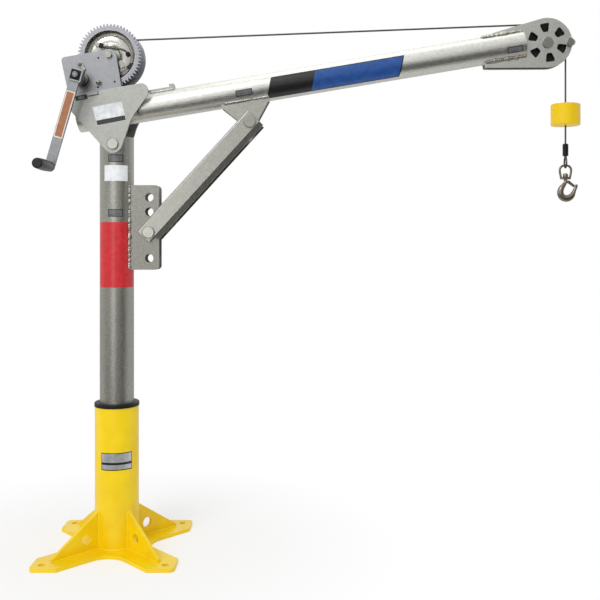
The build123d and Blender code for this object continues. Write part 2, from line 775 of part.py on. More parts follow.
# Brake pawl on the near plate: a lever that points at the brake disc, under the head of its bolt
with BuildPart() as brake_pawl:
    with BuildSketch(boom_plane(-winch_outer)):
        with Locations(pawl_pivot):
            Circle(pawl_radius)
        with Locations(pawl_tip):
            Circle(pawl_tip_radius)
        make_hull()
    extrude(amount=pawl_thickness)
    with BuildSketch(boom_plane(-winch_outer - pawl_thickness)):
        with Locations(pawl_pivot):
            Circle(pawl_bolt_radius)
    extrude(amount=pawl_bolt_height)
save(brake_pawl, "brake_pawl")

# Drum shaft with a nut outside each plate
with BuildPart() as drum_shaft:
    nut_face = winch_outer + drum_nut_thickness
    with BuildSketch(side_plane(nut_face, drum_place)):
        Circle(drum_shaft_diameter / 2)
    extrude(amount=2 * nut_face)
    for nut_start in (nut_face, -winch_outer):
        with BuildSketch(side_plane(nut_start, drum_place)):
            RegularPolygon(drum_nut_radius, 6)
        extrude(amount=drum_nut_thickness)
save(drum_shaft, "drum_shaft")


def half_tooth_angle(radius, pitch_radius, base_radius, thickness):
    """Half the angle that a tooth spans at a radius, by the involute of its base circle."""
    pitch_roll = acos(base_radius / pitch_radius)
    roll = acos(base_radius / radius)
    return thickness / (2 * pitch_radius) + (tan(pitch_roll) - pitch_roll) - (tan(roll) - roll)


def gear_outline(teeth, shift, first_angle):
    """Draws a closed involute gear about the sketch's origin, with a tooth at first_angle in radians."""
    pitch_radius = gear_module * teeth / 2
    base_radius = pitch_radius * cos(radians(pressure_angle))
    tip_radius = pitch_radius + gear_module * (1 + shift)
    root_radius = pitch_radius - gear_module * (1 + root_clearance - shift)
    thickness = gear_module * (pi / 2 + 2 * shift * tan(radians(pressure_angle))) - tooth_backlash / 2
    flank_foot = max(root_radius, base_radius)
    flank_radii = (flank_foot, (flank_foot + tip_radius) / 2, tip_radius)
    halves = [half_tooth_angle(r, pitch_radius, base_radius, thickness) for r in flank_radii]
    pitch = 2 * pi / teeth
    for tooth in range(teeth):
        middle = first_angle + pitch * tooth
        foot_in, flank_in, tip_in = [polar(r, middle - h) for r, h in zip(flank_radii, halves)]
        foot_out, flank_out, tip_out = [polar(r, middle + h) for r, h in zip(flank_radii, halves)]
        root_in = polar(root_radius, middle - halves[0])
        root_out = polar(root_radius, middle + halves[0])
        next_root = polar(root_radius, middle + pitch - halves[0])
        if root_radius < base_radius:
            Line(root_in, foot_in)
            Line(foot_out, root_out)
        ThreePointArc(foot_in, flank_in, tip_in)
        ThreePointArc(tip_in, polar(tip_radius, middle), tip_out)
        ThreePointArc(tip_out, flank_out, foot_out)
        ThreePointArc(root_out, polar(root_radius, middle + pitch / 2), next_root)


# Drum gear: a pressed dish with a raised ring and a toothed rim. One tooth points at the crank's shaft
mesh_angle = atan2(crank_place[1] - drum_place[1], crank_place[0] - drum_place[0])
gear_face_far = gear_face_near + gear_face_width
drum_bore = drum_shaft_diameter / 2 + running_gap
drum_end = winch_half_gap - drum_end_gap
rim_root = gear_module * (gear_teeth / 2 - 1 - root_clearance - profile_shift)
dish_far = dish_floor_near + dish_sheet
ridge_near = dish_floor_near - ridge_rise
ridge_outer_foot = ridge_outer_radius + ridge_slope
ridge_inner_foot = ridge_inner_radius - ridge_slope
with BuildPart() as drum_gear:
    with BuildSketch(side_plane(gear_face_far, drum_place)):
        with BuildLine():
            gear_outline(gear_teeth, -profile_shift, mesh_angle)
        make_face()
        Circle(dish_rim_radius + dish_sheet, mode=Mode.SUBTRACT)
    extrude(amount=gear_face_width)
    with BuildSketch(spin_plane(drum_place)):
        with BuildLine():
            Polyline((drum_bore, -drum_end), (drum_hub_radius, -drum_end),
                     (drum_hub_radius, dish_floor_near), (ridge_inner_foot, dish_floor_near),
                     (ridge_inner_radius, ridge_near), (ridge_outer_radius, ridge_near),
                     (ridge_outer_foot, dish_floor_near), (dish_floor_radius, dish_floor_near),
                     (dish_rim_radius, gear_face_near), (rim_root, gear_face_near),
                     (rim_root, gear_face_far), (dish_rim_radius + dish_sheet / 2, gear_face_far),
                     (dish_floor_radius + dish_sheet / 2, dish_far), (drum_bore, dish_far), close=True)
        make_face()
    revolve(axis=shaft_axis(drum_place))
save(drum_gear, "drum_gear")

# Spool: the drum's core with its far flange
with BuildPart() as drum_spool:
    flange_far = drum_flange_near + drum_flange_thickness
    with BuildSketch(spin_plane(drum_place)):
        with BuildLine():
            Polyline((drum_bore, dish_far), (drum_core_radius, dish_far),
                     (drum_core_radius, drum_flange_near), (drum_flange_radius, drum_flange_near),
                     (drum_flange_radius, flange_far), (drum_hub_radius, flange_far),
                     (drum_hub_radius, drum_end), (drum_bore, drum_end), close=True)
        make_face()
    revolve(axis=shaft_axis(drum_place))
save(drum_spool, "drum_spool")

# Rope laid on the drum, as one ring
with BuildPart() as rope_wraps:
    with BuildSketch(side_plane(drum_flange_near - wraps_end_gap, drum_place)):
        Circle(wraps_radius)
        Circle(drum_core_radius, mode=Mode.SUBTRACT)
    extrude(amount=drum_flange_near - dish_far - 2 * wraps_end_gap)
save(rope_wraps, "rope_wraps")

# Rope clamps on the dish's raised ring
with BuildPart() as rope_clamps:
    for clamp_place, clamp_turn in zip(clamp_places, clamp_turns):
        with BuildSketch(side_plane(ridge_near, drum_place)):
            with Locations(clamp_place):
                RectangleRounded(clamp_length, clamp_width, clamp_corner, rotation=clamp_turn)
        extrude(amount=clamp_height)
save(rope_clamps, "rope_clamps")

# The rope's end, which arcs over the hub from the first clamp to a round cap on the raised ring
tail_turn = radians(clamp_turns[0])
tail_start = (clamp_places[0][0] + clamp_length / 2 * cos(tail_turn),
              clamp_places[0][1] + clamp_length / 2 * sin(tail_turn))
tail_lead = (tail_start[0] + tail_leaves * cos(tail_turn), tail_start[1] + tail_leaves * sin(tail_turn))
with BuildPart() as rope_tail:
    with BuildLine(side_plane(ridge_near - clamp_height / 2, drum_place)) as tail_path:
        Bezier(tail_start, tail_lead, tail_shoulder, tail_cap_place)
    with BuildSketch(Plane(origin=tail_path.wires()[0] @ 0, z_dir=tail_path.wires()[0] % 0)):
        Circle(rope_radius)
    sweep(path=tail_path.wires()[0])
    with BuildSketch(side_plane(ridge_near, drum_place)):
        with Locations(tail_cap_place):
            Circle(tail_cap_radius)
    extrude(amount=tail_cap_height)
save(rope_tail, "rope_tail")

# Pinion, its shaft and the ring that keeps it in the far plate
shaft_far = winch_outer + face_gap
pinion_far = gear_face_near + pinion_face_width
with BuildPart() as pinion_shaft:
    with BuildSketch(side_plane(shaft_far, crank_place)):
        Circle(pinion_shaft_diameter / 2)
    extrude(amount=shaft_far - crank_hub_front)
    with BuildSketch(side_plane(pinion_far, crank_place)):
        with BuildLine():
            gear_outline(pinion_teeth, profile_shift, mesh_angle + pi + pi / pinion_teeth)
        make_face()
    extrude(amount=pinion_face_width)
    with BuildSketch(side_plane(shaft_far + shaft_ring_thickness, crank_place)):
        Circle(crank_boss_radius)
    extrude(amount=shaft_ring_thickness)
save(pinion_shaft, "pinion_shaft")

# Brake disc pack outside the near plate
shaft_bore = pinion_shaft_diameter / 2
with BuildPart() as brake_disc:
    with BuildSketch(spin_plane(crank_place)):
        with BuildLine():
            disc_far = -winch_outer - face_gap
            groove_far = (disc_far + brake_disc_near + brake_groove_width) / 2
            groove_near = groove_far - brake_groove_width
            Polyline((shaft_bore, brake_disc_near), (brake_disc_radius, brake_disc_near),
                     (brake_disc_radius, groove_near), (brake_disc_radius - brake_groove_depth, groove_near),
                     (brake_disc_radius - brake_groove_depth, groove_far), (brake_disc_radius, groove_far),
                     (brake_disc_radius, disc_far), (shaft_bore, disc_far), close=True)
        make_face()
    revolve(axis=shaft_axis(crank_place))
save(brake_disc, "brake_disc")

# Crank: boss, square hub and flat arm down to the spindle
arm_turn = radians(270 - arm_tilt)
arm_direction = (cos(arm_turn), 0, sin(arm_turn))
grip_place = (crank_place[0] + arm_length * cos(arm_turn), crank_place[1] + arm_length * sin(arm_turn))


def arm_plane(y):
    """An upright plane at the crank's shaft whose X runs down the arm."""
    return Plane(origin=(crank_place[0], y, crank_place[1]), x_dir=arm_direction, z_dir=(0, -1, 0))


with BuildPart() as crank_hub:
    with BuildSketch(side_plane(brake_disc_near, crank_place)):
        Circle(crank_boss_radius)
        Circle(shaft_bore, mode=Mode.SUBTRACT)
    extrude(amount=brake_disc_near - crank_hub_back)
    with BuildSketch(arm_plane(crank_hub_back)):
        RectangleRounded(crank_hub_side, crank_hub_side, crank_hub_corner)
        Circle(shaft_bore, mode=Mode.SUBTRACT)
    extrude(amount=crank_hub_back - crank_hub_front)
save(crank_hub, "crank_hub")

with BuildPart() as crank_arm:
    with BuildSketch(arm_plane(arm_back)):
        with BuildLine():
            half = arm_width / 2
            Line((crank_hub_side / 2, -half), (arm_length, -half))
            ThreePointArc((arm_length, -half), (arm_length + half, 0), (arm_length, half))
            Line((arm_length, half), (crank_hub_side / 2, half))
            Line((crank_hub_side / 2, half), (crank_hub_side / 2, -half))
        make_face()
        with Locations((arm_length, 0)):
            Circle(spindle_diameter / 2, mode=Mode.SUBTRACT)
    extrude(amount=arm_thickness)
save(crank_arm, "crank_arm")

with BuildPart() as crank_nut:
    with BuildSketch(arm_plane(crank_hub_front)):
        RectangleRounded(crank_pad_side, crank_pad_side, crank_pad_corner)
    extrude(amount=crank_pad_thickness)
    with BuildSketch(arm_plane(crank_hub_front - crank_pad_thickness)):
        Circle(crank_nut_radius)
        Circle(crank_nut_bore, mode=Mode.SUBTRACT)
    extrude(amount=crank_nut_thickness)
save(crank_nut, "crank_nut")

# Spindle and the grip that turns on it
arm_front = arm_back - arm_thickness
spindle_end = grip_near + grip_end_wall + face_gap
with BuildPart() as grip_spindle:
    with BuildSketch(side_plane(arm_back, grip_place)):
        Circle(spindle_diameter / 2)
    extrude(amount=arm_back - spindle_end)
    with BuildSketch(side_plane(arm_front, grip_place)):
        Circle(spindle_shoulder_radius)
    extrude(amount=arm_front - grip_back - face_gap)
save(grip_spindle, "grip_spindle")

with BuildPart() as crank_grip:
    with BuildSketch(spin_plane(grip_place)):
        with BuildLine():
            grip_bore = spindle_diameter / 2 + running_gap
            grip_middle = (grip_near + grip_back) / 2
            Line((0, grip_near), (grip_waist_radius, grip_near))
            grip_floor = grip_near + grip_end_wall
            ThreePointArc((grip_waist_radius, grip_near), (grip_radius, grip_middle),
                          (grip_waist_radius, grip_back))
            Polyline((grip_waist_radius, grip_back), (grip_bore, grip_back), (grip_bore, grip_floor),
                     (0, grip_floor), (0, grip_near))
        make_face()
    revolve(axis=shaft_axis(grip_place))
    fillet(crank_grip.faces().sort_by(Axis.Y)[0].edges(), grip_end_fillet)
save(crank_grip, "crank_grip")

# Taut rope from the drum, over the sheave and down to the sheave's level
drum_rope_radius = wraps_radius + face_gap + rope_radius
reach = hypot(sheave_place[0] - drum_place[0], sheave_place[1] - drum_place[1])
rope_turn = (atan2(sheave_place[1] - drum_place[1], sheave_place[0] - drum_place[0])
             + asin((sheave_rope_radius - drum_rope_radius) / reach))
with BuildPart() as rope_line:
    with BuildLine(side_plane(0)) as rope_path:
        lift = degrees(rope_turn) + 90
        on_drum = CenterArc(drum_place, drum_rope_radius, lift + rope_lap_angle, -rope_lap_angle)
        over_sheave = CenterArc(sheave_place, sheave_rope_radius, lift, -lift)
        Line(on_drum @ 1, over_sheave @ 0)
    with BuildSketch(Plane(origin=on_drum @ 0, z_dir=on_drum % 0)):
        Circle(rope_radius)
    sweep(path=rope_path.wires()[0])
save(rope_line, "rope_line")

# The fall of rope down to the sleeve
sleeve_bottom = hook_neck + sleeve_rise
sleeve_top = sleeve_bottom + sleeve_length
with BuildPart() as rope_fall:
    with BuildSketch(Plane(origin=(rope_x, 0, sleeve_top))):
        Circle(rope_radius)
    extrude(amount=sheave_place[1] - sleeve_top)
save(rope_fall, "rope_fall")

# Float, sleeve and the rope's eye
with BuildPart() as rope_float:
    with BuildSketch(Plane(origin=(rope_x, 0, hook_neck + float_rise))):
        Circle(float_diameter / 2)
        Circle(rope_radius + face_gap, mode=Mode.SUBTRACT)
    extrude(amount=float_height)
    outer_rims = rope_float.edges().filter_by(GeomType.CIRCLE).group_by(SortBy.RADIUS)[-1]
    fillet(outer_rims, float_edge)
save(rope_float, "rope_float")

with BuildPart() as rope_sleeve:
    with BuildSketch(Plane(origin=(rope_x, 0, sleeve_bottom))):
        Circle(sleeve_radius)
    extrude(amount=sleeve_length)
    sleeve_rims = rope_sleeve.edges().filter_by(GeomType.CIRCLE).sort_by(Axis.Z)
    chamfer(sleeve_rims[0], sleeve_chamfer)
    fillet(sleeve_rims[-1], sleeve_shoulder)
save(rope_sleeve, "rope_sleeve")

leg = rope_radius + face_gap
eye_low = hook_neck + eye_rise + rope_radius
eye_neck = sleeve_bottom - eye_neck_length
eye_shoulder = eye_low + eye_side_length
with BuildPart() as rope_eye:
    with BuildLine(Plane(origin=(rope_x, 0, 0), x_dir=(0, 1, 0), z_dir=(1, 0, 0))) as eye_path:
        FilletPolyline((-leg, sleeve_bottom), (-leg, eye_neck), (-eye_half_width, eye_shoulder),
                       (-eye_half_width, eye_low), (eye_half_width, eye_low), (eye_half_width, eye_shoulder),
                       (leg, eye_neck), (leg, sleeve_bottom),
                       radius=(eye_bend, eye_bend, eye_low_bend, eye_low_bend, eye_bend, eye_bend))
    with BuildSketch(Plane(origin=eye_path.wires()[0] @ 0, z_dir=eye_path.wires()[0] % 0)):
        Circle(rope_radius)
    sweep(path=eye_path.wires()[0])
save(rope_eye, "rope_eye")

# Bail: an arched bar through the rope's eye, with a boss for the swivel
bail_crown = eye_low + rope_radius + face_gap + bail_bar_radius
bail_shoulder = hook_neck + bail_shoulder_rise
bail_foot = hook_neck + bail_foot_rise
bail_boss_bottom = hook_neck + bail_boss_rise
bail_boss_top = bail_boss_bottom + bail_boss_height
with BuildPart() as hook_bail:
    with BuildLine(upright_plane(rope_x)) as bail_path:
        FilletPolyline((-bail_foot_half_width, bail_foot), (-bail_half_width, bail_shoulder),
                       (-bail_half_width, bail_crown), (bail_half_width, bail_crown),
                       (bail_half_width, bail_shoulder), (bail_foot_half_width, bail_foot),
                       radius=bail_bend)
    with BuildSketch(Plane(origin=bail_path.wires()[0] @ 0, z_dir=bail_path.wires()[0] % 0)):
        Circle(bail_bar_radius)
    sweep(path=bail_path.wires()[0])
    with BuildSketch(Plane(origin=(rope_x, 0, bail_boss_bottom))):
        SlotCenterToCenter(2 * bail_boss_half_length, 2 * bail_boss_radius)
    extrude(amount=bail_boss_height)
    with BuildSketch(Plane(origin=(rope_x, 0, bail_boss_bottom))):
        Circle(swivel_stem_radius + running_gap)
    extrude(amount=bail_boss_height, mode=Mode.SUBTRACT)
save(hook_bail, "hook_bail")

# Hook: a swivel stem and its round head above, and a body lofted through round sections
pivot_place = (rope_x + latch_pivot[0], hook_neck + latch_pivot[1])
centre_line = [(centre[0], hook_neck + centre[1]) for centre in hook_centres]
with BuildPart() as hook:
    with BuildLine(upright_plane(rope_x)) as hook_path:
        hook_curve = Spline(*centre_line)
    for centre, radius in zip(centre_line, hook_radii):
        place = hook_curve.param_at_point(Vector(rope_x + centre[0], 0, centre[1]))
        with BuildSketch(Plane(origin=hook_curve @ place, x_dir=(0, 1, 0), z_dir=hook_curve % place)):
            Circle(radius)
    loft()
    with BuildSketch(Plane(origin=(rope_x, 0, bail_boss_top + face_gap))):
        Circle(swivel_head_radius)
    extrude(amount=swivel_head_height)
    fillet(hook.faces().sort_by(Axis.Z)[-1].edges(), swivel_head_crown)
    with BuildSketch(Plane(origin=(rope_x, 0, hook_neck))):
        Circle(swivel_stem_radius)
    extrude(amount=bail_boss_top + face_gap - hook_neck)
    with BuildSketch(Plane(origin=(rope_x, 0, hook_neck))):
        Circle(hook_collar_radius)
    extrude(amount=bail_boss_bottom - face_gap - hook_neck)
    # Two ears carry the latch's pin
    for ear_face in (-latch_half_width - face_gap, latch_half_width + face_gap + latch_ear_thickness):
        with BuildSketch(side_plane(ear_face, pivot_place)):
            Circle(latch_eye_radius)
            with Locations((-latch_pivot[0] / 2, 0)):
                Rectangle(latch_pivot[0], 2 * latch_eye_radius)
        extrude(amount=latch_ear_thickness)
    with BuildSketch(side_plane(latch_half_width + face_gap + latch_ear_thickness, pivot_place)):
        Circle(latch_pin_radius)
    extrude(amount=2 * (latch_half_width + face_gap + latch_ear_thickness))
save(hook, "hook")

# Latch
with BuildPart() as hook_latch:
    with BuildSketch(side_plane(latch_half_width, pivot_place, latch_angle)):
        Circle(latch_eye_radius)
        with BuildLine():
            Polyline((0, -latch_root_height / 2), (latch_length, -latch_end_height / 2),
                     (latch_length, latch_end_height / 2), (0, latch_root_height / 2), close=True)
        make_face()
        Circle(latch_pin_radius + running_gap, mode=Mode.SUBTRACT)
    extrude(amount=2 * latch_half_width)
save(hook_latch, "hook_latch")
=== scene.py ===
# %% [markdown]
# # A davit crane in steel, yellow powder coat and wire rope
# The crane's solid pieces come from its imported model, in metres, with +Z up and the mast's axis at the
# origin. This lesson dresses them: each finish gets a material, and the small things that a welder, a
# rigger or a label printer adds are made here as surfaces.

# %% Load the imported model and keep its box
from math import cos, pi, radians, sin
import bmesh
import bpy
import numpy as np
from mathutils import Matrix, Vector


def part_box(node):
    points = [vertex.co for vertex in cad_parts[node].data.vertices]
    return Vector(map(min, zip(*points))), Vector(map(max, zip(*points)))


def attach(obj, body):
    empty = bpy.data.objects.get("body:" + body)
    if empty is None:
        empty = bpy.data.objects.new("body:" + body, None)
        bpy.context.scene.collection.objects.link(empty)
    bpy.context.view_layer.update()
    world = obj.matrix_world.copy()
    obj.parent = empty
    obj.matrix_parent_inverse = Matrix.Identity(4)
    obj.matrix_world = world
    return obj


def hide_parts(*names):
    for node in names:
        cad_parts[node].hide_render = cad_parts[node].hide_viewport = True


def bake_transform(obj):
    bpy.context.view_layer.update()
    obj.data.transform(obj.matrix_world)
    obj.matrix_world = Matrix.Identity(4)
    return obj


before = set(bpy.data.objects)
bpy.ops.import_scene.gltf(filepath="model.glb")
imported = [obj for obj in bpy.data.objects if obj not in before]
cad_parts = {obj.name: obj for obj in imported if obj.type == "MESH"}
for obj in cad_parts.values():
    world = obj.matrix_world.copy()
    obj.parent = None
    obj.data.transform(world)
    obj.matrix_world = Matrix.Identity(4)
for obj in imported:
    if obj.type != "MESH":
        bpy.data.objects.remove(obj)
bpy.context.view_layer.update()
MM = 0.001

# %% [markdown]
# ## Where things are
# Every place is read from the model's own boxes or worked out along the boom, which climbs 9.5 degrees.
# Lengths are millimetres from here on, and turn into metres when a mesh is filled.

# %% Places on the crane
BOOM_SLOPE = radians(9.5)
BOOM_HEIGHT = 1148.5
BOOM_RADIUS = 36.5
MAST_RADIUS = 44.45
SOCKET_RADIUS = 57.15
ROPE_RADIUS = 2.4


def centre(node):
    """The middle of a node's box, in millimetres."""
    low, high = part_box(node)
    return np.array((low + high) / 2) / MM


def boom_point(along, across, y):
    """A point given along the boom's axis, across it and along Y: the two first turn by the boom's slope."""
    along, across, y = np.broadcast_arrays(along, across, y)
    x = along * cos(BOOM_SLOPE) - across * sin(BOOM_SLOPE)
    z = BOOM_HEIGHT + along * sin(BOOM_SLOPE) + across * cos(BOOM_SLOPE)
    return np.stack([x, y, z], axis=-1)


drum, crank, wheel = centre("drum_shaft"), centre("brake_disc"), centre("sheave")
rope_x = centre("rope_fall")[0]
ALONG = boom_point(1.0, 0.0, 0.0) - boom_point(0.0, 0.0, 0.0)
ACROSS = boom_point(0.0, 1.0, 0.0) - boom_point(0.0, 0.0, 0.0)
NEAR = np.array([0.0, -1.0, 0.0])
UP = np.array([0.0, 0.0, 1.0])
print("drum", drum, "crank", crank, "wheel", wheel, "rope at x", rope_x)

# %% [markdown]
# ## Camera
# The photograph was taken almost level, from the side with the crank. A level camera with a small
# downward shift keeps the mast upright in the picture, as an architect's view camera does.

# %% Camera
VIEW_CENTRE = (0.485, 0.652)
CAMERA_HEIGHT = 0.811
CAMERA_DISTANCE = 2.2
FRAME_WIDTH = 1.59
camera_data = bpy.data.cameras.new("camera")
camera = bpy.data.objects.new("camera", camera_data)
bpy.context.scene.collection.objects.link(camera)
bpy.context.scene.camera = camera
camera.location = (VIEW_CENTRE[0], -CAMERA_DISTANCE, CAMERA_HEIGHT)
camera.rotation_euler = (radians(90), 0, 0)
camera_data.lens = camera_data.sensor_width * CAMERA_DISTANCE / FRAME_WIDTH
camera_data.shift_y = (VIEW_CENTRE[1] - CAMERA_HEIGHT) / FRAME_WIDTH
print("lens", round(camera_data.lens, 1), "shift", round(camera_data.shift_y, 3))

# %% [markdown]
# ## Colours and nodes
# A picture's colours are written in sRGB, and a shader works with linear light, so one function turns
# a hex value to linear. One more adds any node with its settings, values and links.


# %% Helpers for materials
def linear(hex_value):
    """The linear RGBA of an sRGB hex value: ((c + 0.055) / 1.055) ** 2.4, or c / 12.92 for dark values."""
    channels = [int(hex_value[i:i + 2], 16) / 255 for i in (1, 3, 5)]
    return tuple(((c + 0.055) / 1.055) ** 2.4 if c > 0.04045 else c / 12.92 for c in channels) + (1.0,)


def add_node(tree, kind, sockets=None, **settings):
    """Adds a node. Settings are its own properties; sockets maps an input to a value or to another
    node's output."""
    node = tree.nodes.new(kind)
    for key, value in settings.items():
        setattr(node, key, value)
    for key, value in (sockets or {}).items():
        if isinstance(value, bpy.types.NodeSocket):
            tree.links.new(value, node.inputs[key])
        else:
            node.inputs[key].default_value = value
    return node


def new_material(name, **constants):
    """A material with its shader's constants set on the shader's own sockets. Gives the material, its
    tree and its shader."""
    material = bpy.data.materials.new(name)
    material.use_nodes = True
    tree = material.node_tree
    shader = tree.nodes["Principled BSDF"]
    for key, value in constants.items():
        shader.inputs[key.replace("_", " ")].default_value = value
    return material, tree, shader


def pattern(tree, size_mm, detail=3.0, stretch=(1, 1, 1), turn=0.0, rough=0.55):
    """Noise whose blotches are about size_mm across; stretch makes them longer along an axis turned by
    the boom's slope."""
    where = add_node(tree, "ShaderNodeTexCoord")
    placed = add_node(tree, "ShaderNodeMapping", {"Vector": where.outputs["Object"], "Rotation": (0, turn, 0),
                                                  "Scale": tuple(1 / s for s in stretch)})
    return add_node(tree, "ShaderNodeTexNoise", {"Vector": placed.outputs[0], "Scale": 1 / (size_mm * MM),
                                                 "Detail": detail, "Roughness": rough}).outputs["Fac"]


def spread(tree, value, low, high, start=0.35, end=0.65):
    """Maps a noise value from start..end to low..high."""
    return add_node(tree, "ShaderNodeMapRange", {0: value, 1: start, 2: end, 3: low, 4: high}).outputs[0]


def blend_colours(tree, factor, first, second):
    """Mixes two colours, each a hex value or another node's output."""
    pair = [linear(c) if isinstance(c, str) else c for c in (first, second)]
    return add_node(tree, "ShaderNodeMix", {0: factor, 6: pair[0], 7: pair[1]}, data_type="RGBA").outputs[2]


def relief(tree, shader, height, depth_mm, edge_mm=0.6):
    """Bumps the surface by a height from 0 to 1 times depth_mm, on edges that shade as if rounded by
    edge_mm."""
    rounded = add_node(tree, "ShaderNodeBevel", {"Radius": edge_mm * MM}, samples=6)
    bump = add_node(tree, "ShaderNodeBump", {"Height": height, "Distance": depth_mm * MM,
                                             "Normal": rounded.outputs[0]})
    tree.links.new(bump.outputs[0], shader.inputs["Normal"])


# %% [markdown]
# ## Zinc on steel
# The plates, tubes and sheet are steel with a thin layer of zinc. Zinc is a grey metal that takes a dull,
# blotchy bloom: bright where it was handled and greyer in between. The same recipe serves all of them,
# with the blotches' size, the grain's direction and the polish of each piece: blotches colour it, a fine
# grain scatters the gloss, and a shallow relief breaks up reflections.


# %% Zinc finishes
def zinc_finish(name, bright, dull, blotch_mm, grain_mm, roughness, depth_mm=0.12, stretch=(1, 1, 1),
                turn=0.0):
    """Metal mixed between two greys by grain * blotches + grain; roughness and relief follow the finer
    grain alone."""
    material, tree, shader = new_material(name, Metallic=1.0)
    blotches = pattern(tree, blotch_mm, detail=4.0)
    grain = pattern(tree, grain_mm, detail=2.0, stretch=stretch, turn=turn)
    mixed = add_node(tree, "ShaderNodeMath", {0: blotches, 1: grain, 2: grain}, operation="MULTIPLY_ADD")
    colour = blend_colours(tree, spread(tree, mixed.outputs[0], 0.0, 1.0, 0.6, 1.0), dull, bright)
    tree.links.new(colour, shader.inputs["Base Color"])
    tree.links.new(spread(tree, grain, roughness[0], roughness[1]), shader.inputs["Roughness"])
    relief(tree, shader, grain, depth_mm)
    return material


zinc_plate = zinc_finish("zinc_plate", "#acada8", "#969792", 9.0, 1.6, (0.36, 0.55))
lug_zinc = zinc_finish("lug_zinc", "#9e9d96", "#84837c", 7.0, 1.6, (0.38, 0.55), depth_mm=0.15)
strut_zinc = zinc_finish("strut_zinc", "#afaea8", "#98978f", 11.0, 1.4, (0.32, 0.5))
tip_zinc = zinc_finish("tip_zinc", "#d4d4ce", "#bdbdb7", 8.0, 1.4, (0.34, 0.52))
winch_zinc = zinc_finish("winch_zinc", "#97989c", "#868789", 14.0, 1.2, (0.34, 0.5), depth_mm=0.05)
arm_zinc = zinc_finish("arm_zinc", "#939497", "#7e7f82", 10.0, 1.2, (0.34, 0.5), depth_mm=0.05)
# The drum's flange is the winch's zinc in a lighter copy: painted light that lifts the shade the gear casts
# on it.
lit_flange_zinc = zinc_finish("lit_flange_zinc", "#bcbdc4", "#a3a4ab", 12.0, 1.2, (0.34, 0.5), depth_mm=0.05)
mast_zinc = zinc_finish("mast_zinc", "#b3b2aa", "#8d8c85", 4.0, 1.8, (0.34, 0.5), depth_mm=0.22)
boom_zinc = zinc_finish("boom_zinc", "#dcdcd7", "#c6c6bf", 6.0, 1.6, (0.34, 0.48), depth_mm=0.06,
                        stretch=(6, 1, 1), turn=BOOM_SLOPE)
bright_zinc = zinc_finish("bright_zinc", "#a3a29b", "#94938c", 6.0, 1.6, (0.28, 0.38), depth_mm=0.02)
weld_metal = zinc_finish("weld_metal", "#dedcd4", "#8e8b82", 5.0, 1.6, (0.25, 0.5), depth_mm=0.4)


def gear_finish():
    """Two greys by the distance from the drum's axis: the cut rim is cool, and the pressed dish inside
    67 mm is lighter and smoother. A fine grain runs over both."""
    material, tree, shader = new_material("gear_zinc", Metallic=1.0)
    where = add_node(tree, "ShaderNodeTexCoord").outputs["Object"]
    flat = add_node(tree, "ShaderNodeVectorMath", {0: where, 1: (1, 0, 1)}, operation="MULTIPLY").outputs[0]
    axis = (drum[0] * MM, 0, drum[2] * MM)
    reach = add_node(tree, "ShaderNodeVectorMath", {0: flat, 1: axis}, operation="DISTANCE").outputs["Value"]
    rim = spread(tree, reach, 0.0, 1.0, 0.066, 0.068)
    grain = pattern(tree, 3.0, detail=4.0)
    dish_colour = blend_colours(tree, spread(tree, grain, 0.0, 1.0), "#acaba5", "#b6b5af")
    rim_colour = blend_colours(tree, spread(tree, grain, 0.0, 1.0), "#8a8b91", "#96979d")
    tree.links.new(blend_colours(tree, rim, dish_colour, rim_colour), shader.inputs["Base Color"])
    tree.links.new(spread(tree, rim, 0.24, 0.4, 0.0, 1.0), shader.inputs["Roughness"])
    relief(tree, shader, grain, 0.02, edge_mm=1.2)
    return material


gear_zinc = gear_finish()
print("zinc finishes made")

# %% [markdown]
# ## Yellow powder coat
# Powder coat is baked plastic over steel: a saturated colour under a clear gloss, with a very shallow
# orange peel whose waves are about 3 mm long, which breaks up the edges of its highlights.


# %% Powder coat and yellow plastic
def powder_coat():
    """Gloss yellow with faint blotches of colour and an orange peel of 3 mm."""
    material, tree, shader = new_material("yellow_powder_coat", Roughness=0.28, Specular_IOR_Level=0.4)
    patches = pattern(tree, 60.0, detail=2.0)
    colour = blend_colours(tree, spread(tree, patches, 0.0, 1.0), "#f4ce00", "#fad805")
    tree.links.new(colour, shader.inputs["Base Color"])
    relief(tree, shader, pattern(tree, 3.0, detail=1.0), 0.12, edge_mm=1.0)
    return material


def float_plastic():
    """Semi-gloss yellow plastic with fine turning scratches."""
    material, tree, shader = new_material("float_plastic", Roughness=0.34, Specular_IOR_Level=0.35)
    scuffs = pattern(tree, 1.6, detail=4.0, stretch=(4, 4, 1))
    colour = blend_colours(tree, spread(tree, scuffs, 0.0, 1.0), "#f0c602", "#f6d00c")
    tree.links.new(colour, shader.inputs["Base Color"])
    relief(tree, shader, scuffs, 0.03)
    return material


yellow_coat = powder_coat()
float_yellow = float_plastic()
print("yellow finishes made")

# %% [markdown]
# ## Black plastics, wire rope and forged steel
# Nylon is a waxy near-black. The crank's grip is moulded and slightly glossier. The rope is drawn steel
# wire that has picked up oil, so it is dark in the valleys between its strands. The hook is a forging:
# brown-grey scale with worn bright spots.


# %% Dark finishes
def dark_plastic(name, low, high, size_mm, roughness, depth_mm):
    """Near-black plastic with a fine moulded grain."""
    material, tree, shader = new_material(name, Roughness=roughness, Specular_IOR_Level=0.25)
    grain = pattern(tree, size_mm, detail=3.0)
    tree.links.new(blend_colours(tree, spread(tree, grain, 0.0, 1.0), low, high), shader.inputs["Base Color"])
    relief(tree, shader, grain, depth_mm)
    return material


def dark_metal(name, low, high, size_mm, metallic, roughness, depth_mm):
    """Dark metal whose worn spots are brighter and smoother."""
    material, tree, shader = new_material(name, Metallic=metallic)
    wear = pattern(tree, size_mm, detail=5.0, rough=0.65)
    tree.links.new(blend_colours(tree, spread(tree, wear, 0.0, 1.0), low, high), shader.inputs["Base Color"])
    tree.links.new(spread(tree, wear, roughness[1], roughness[0]), shader.inputs["Roughness"])
    relief(tree, shader, wear, depth_mm)
    return material


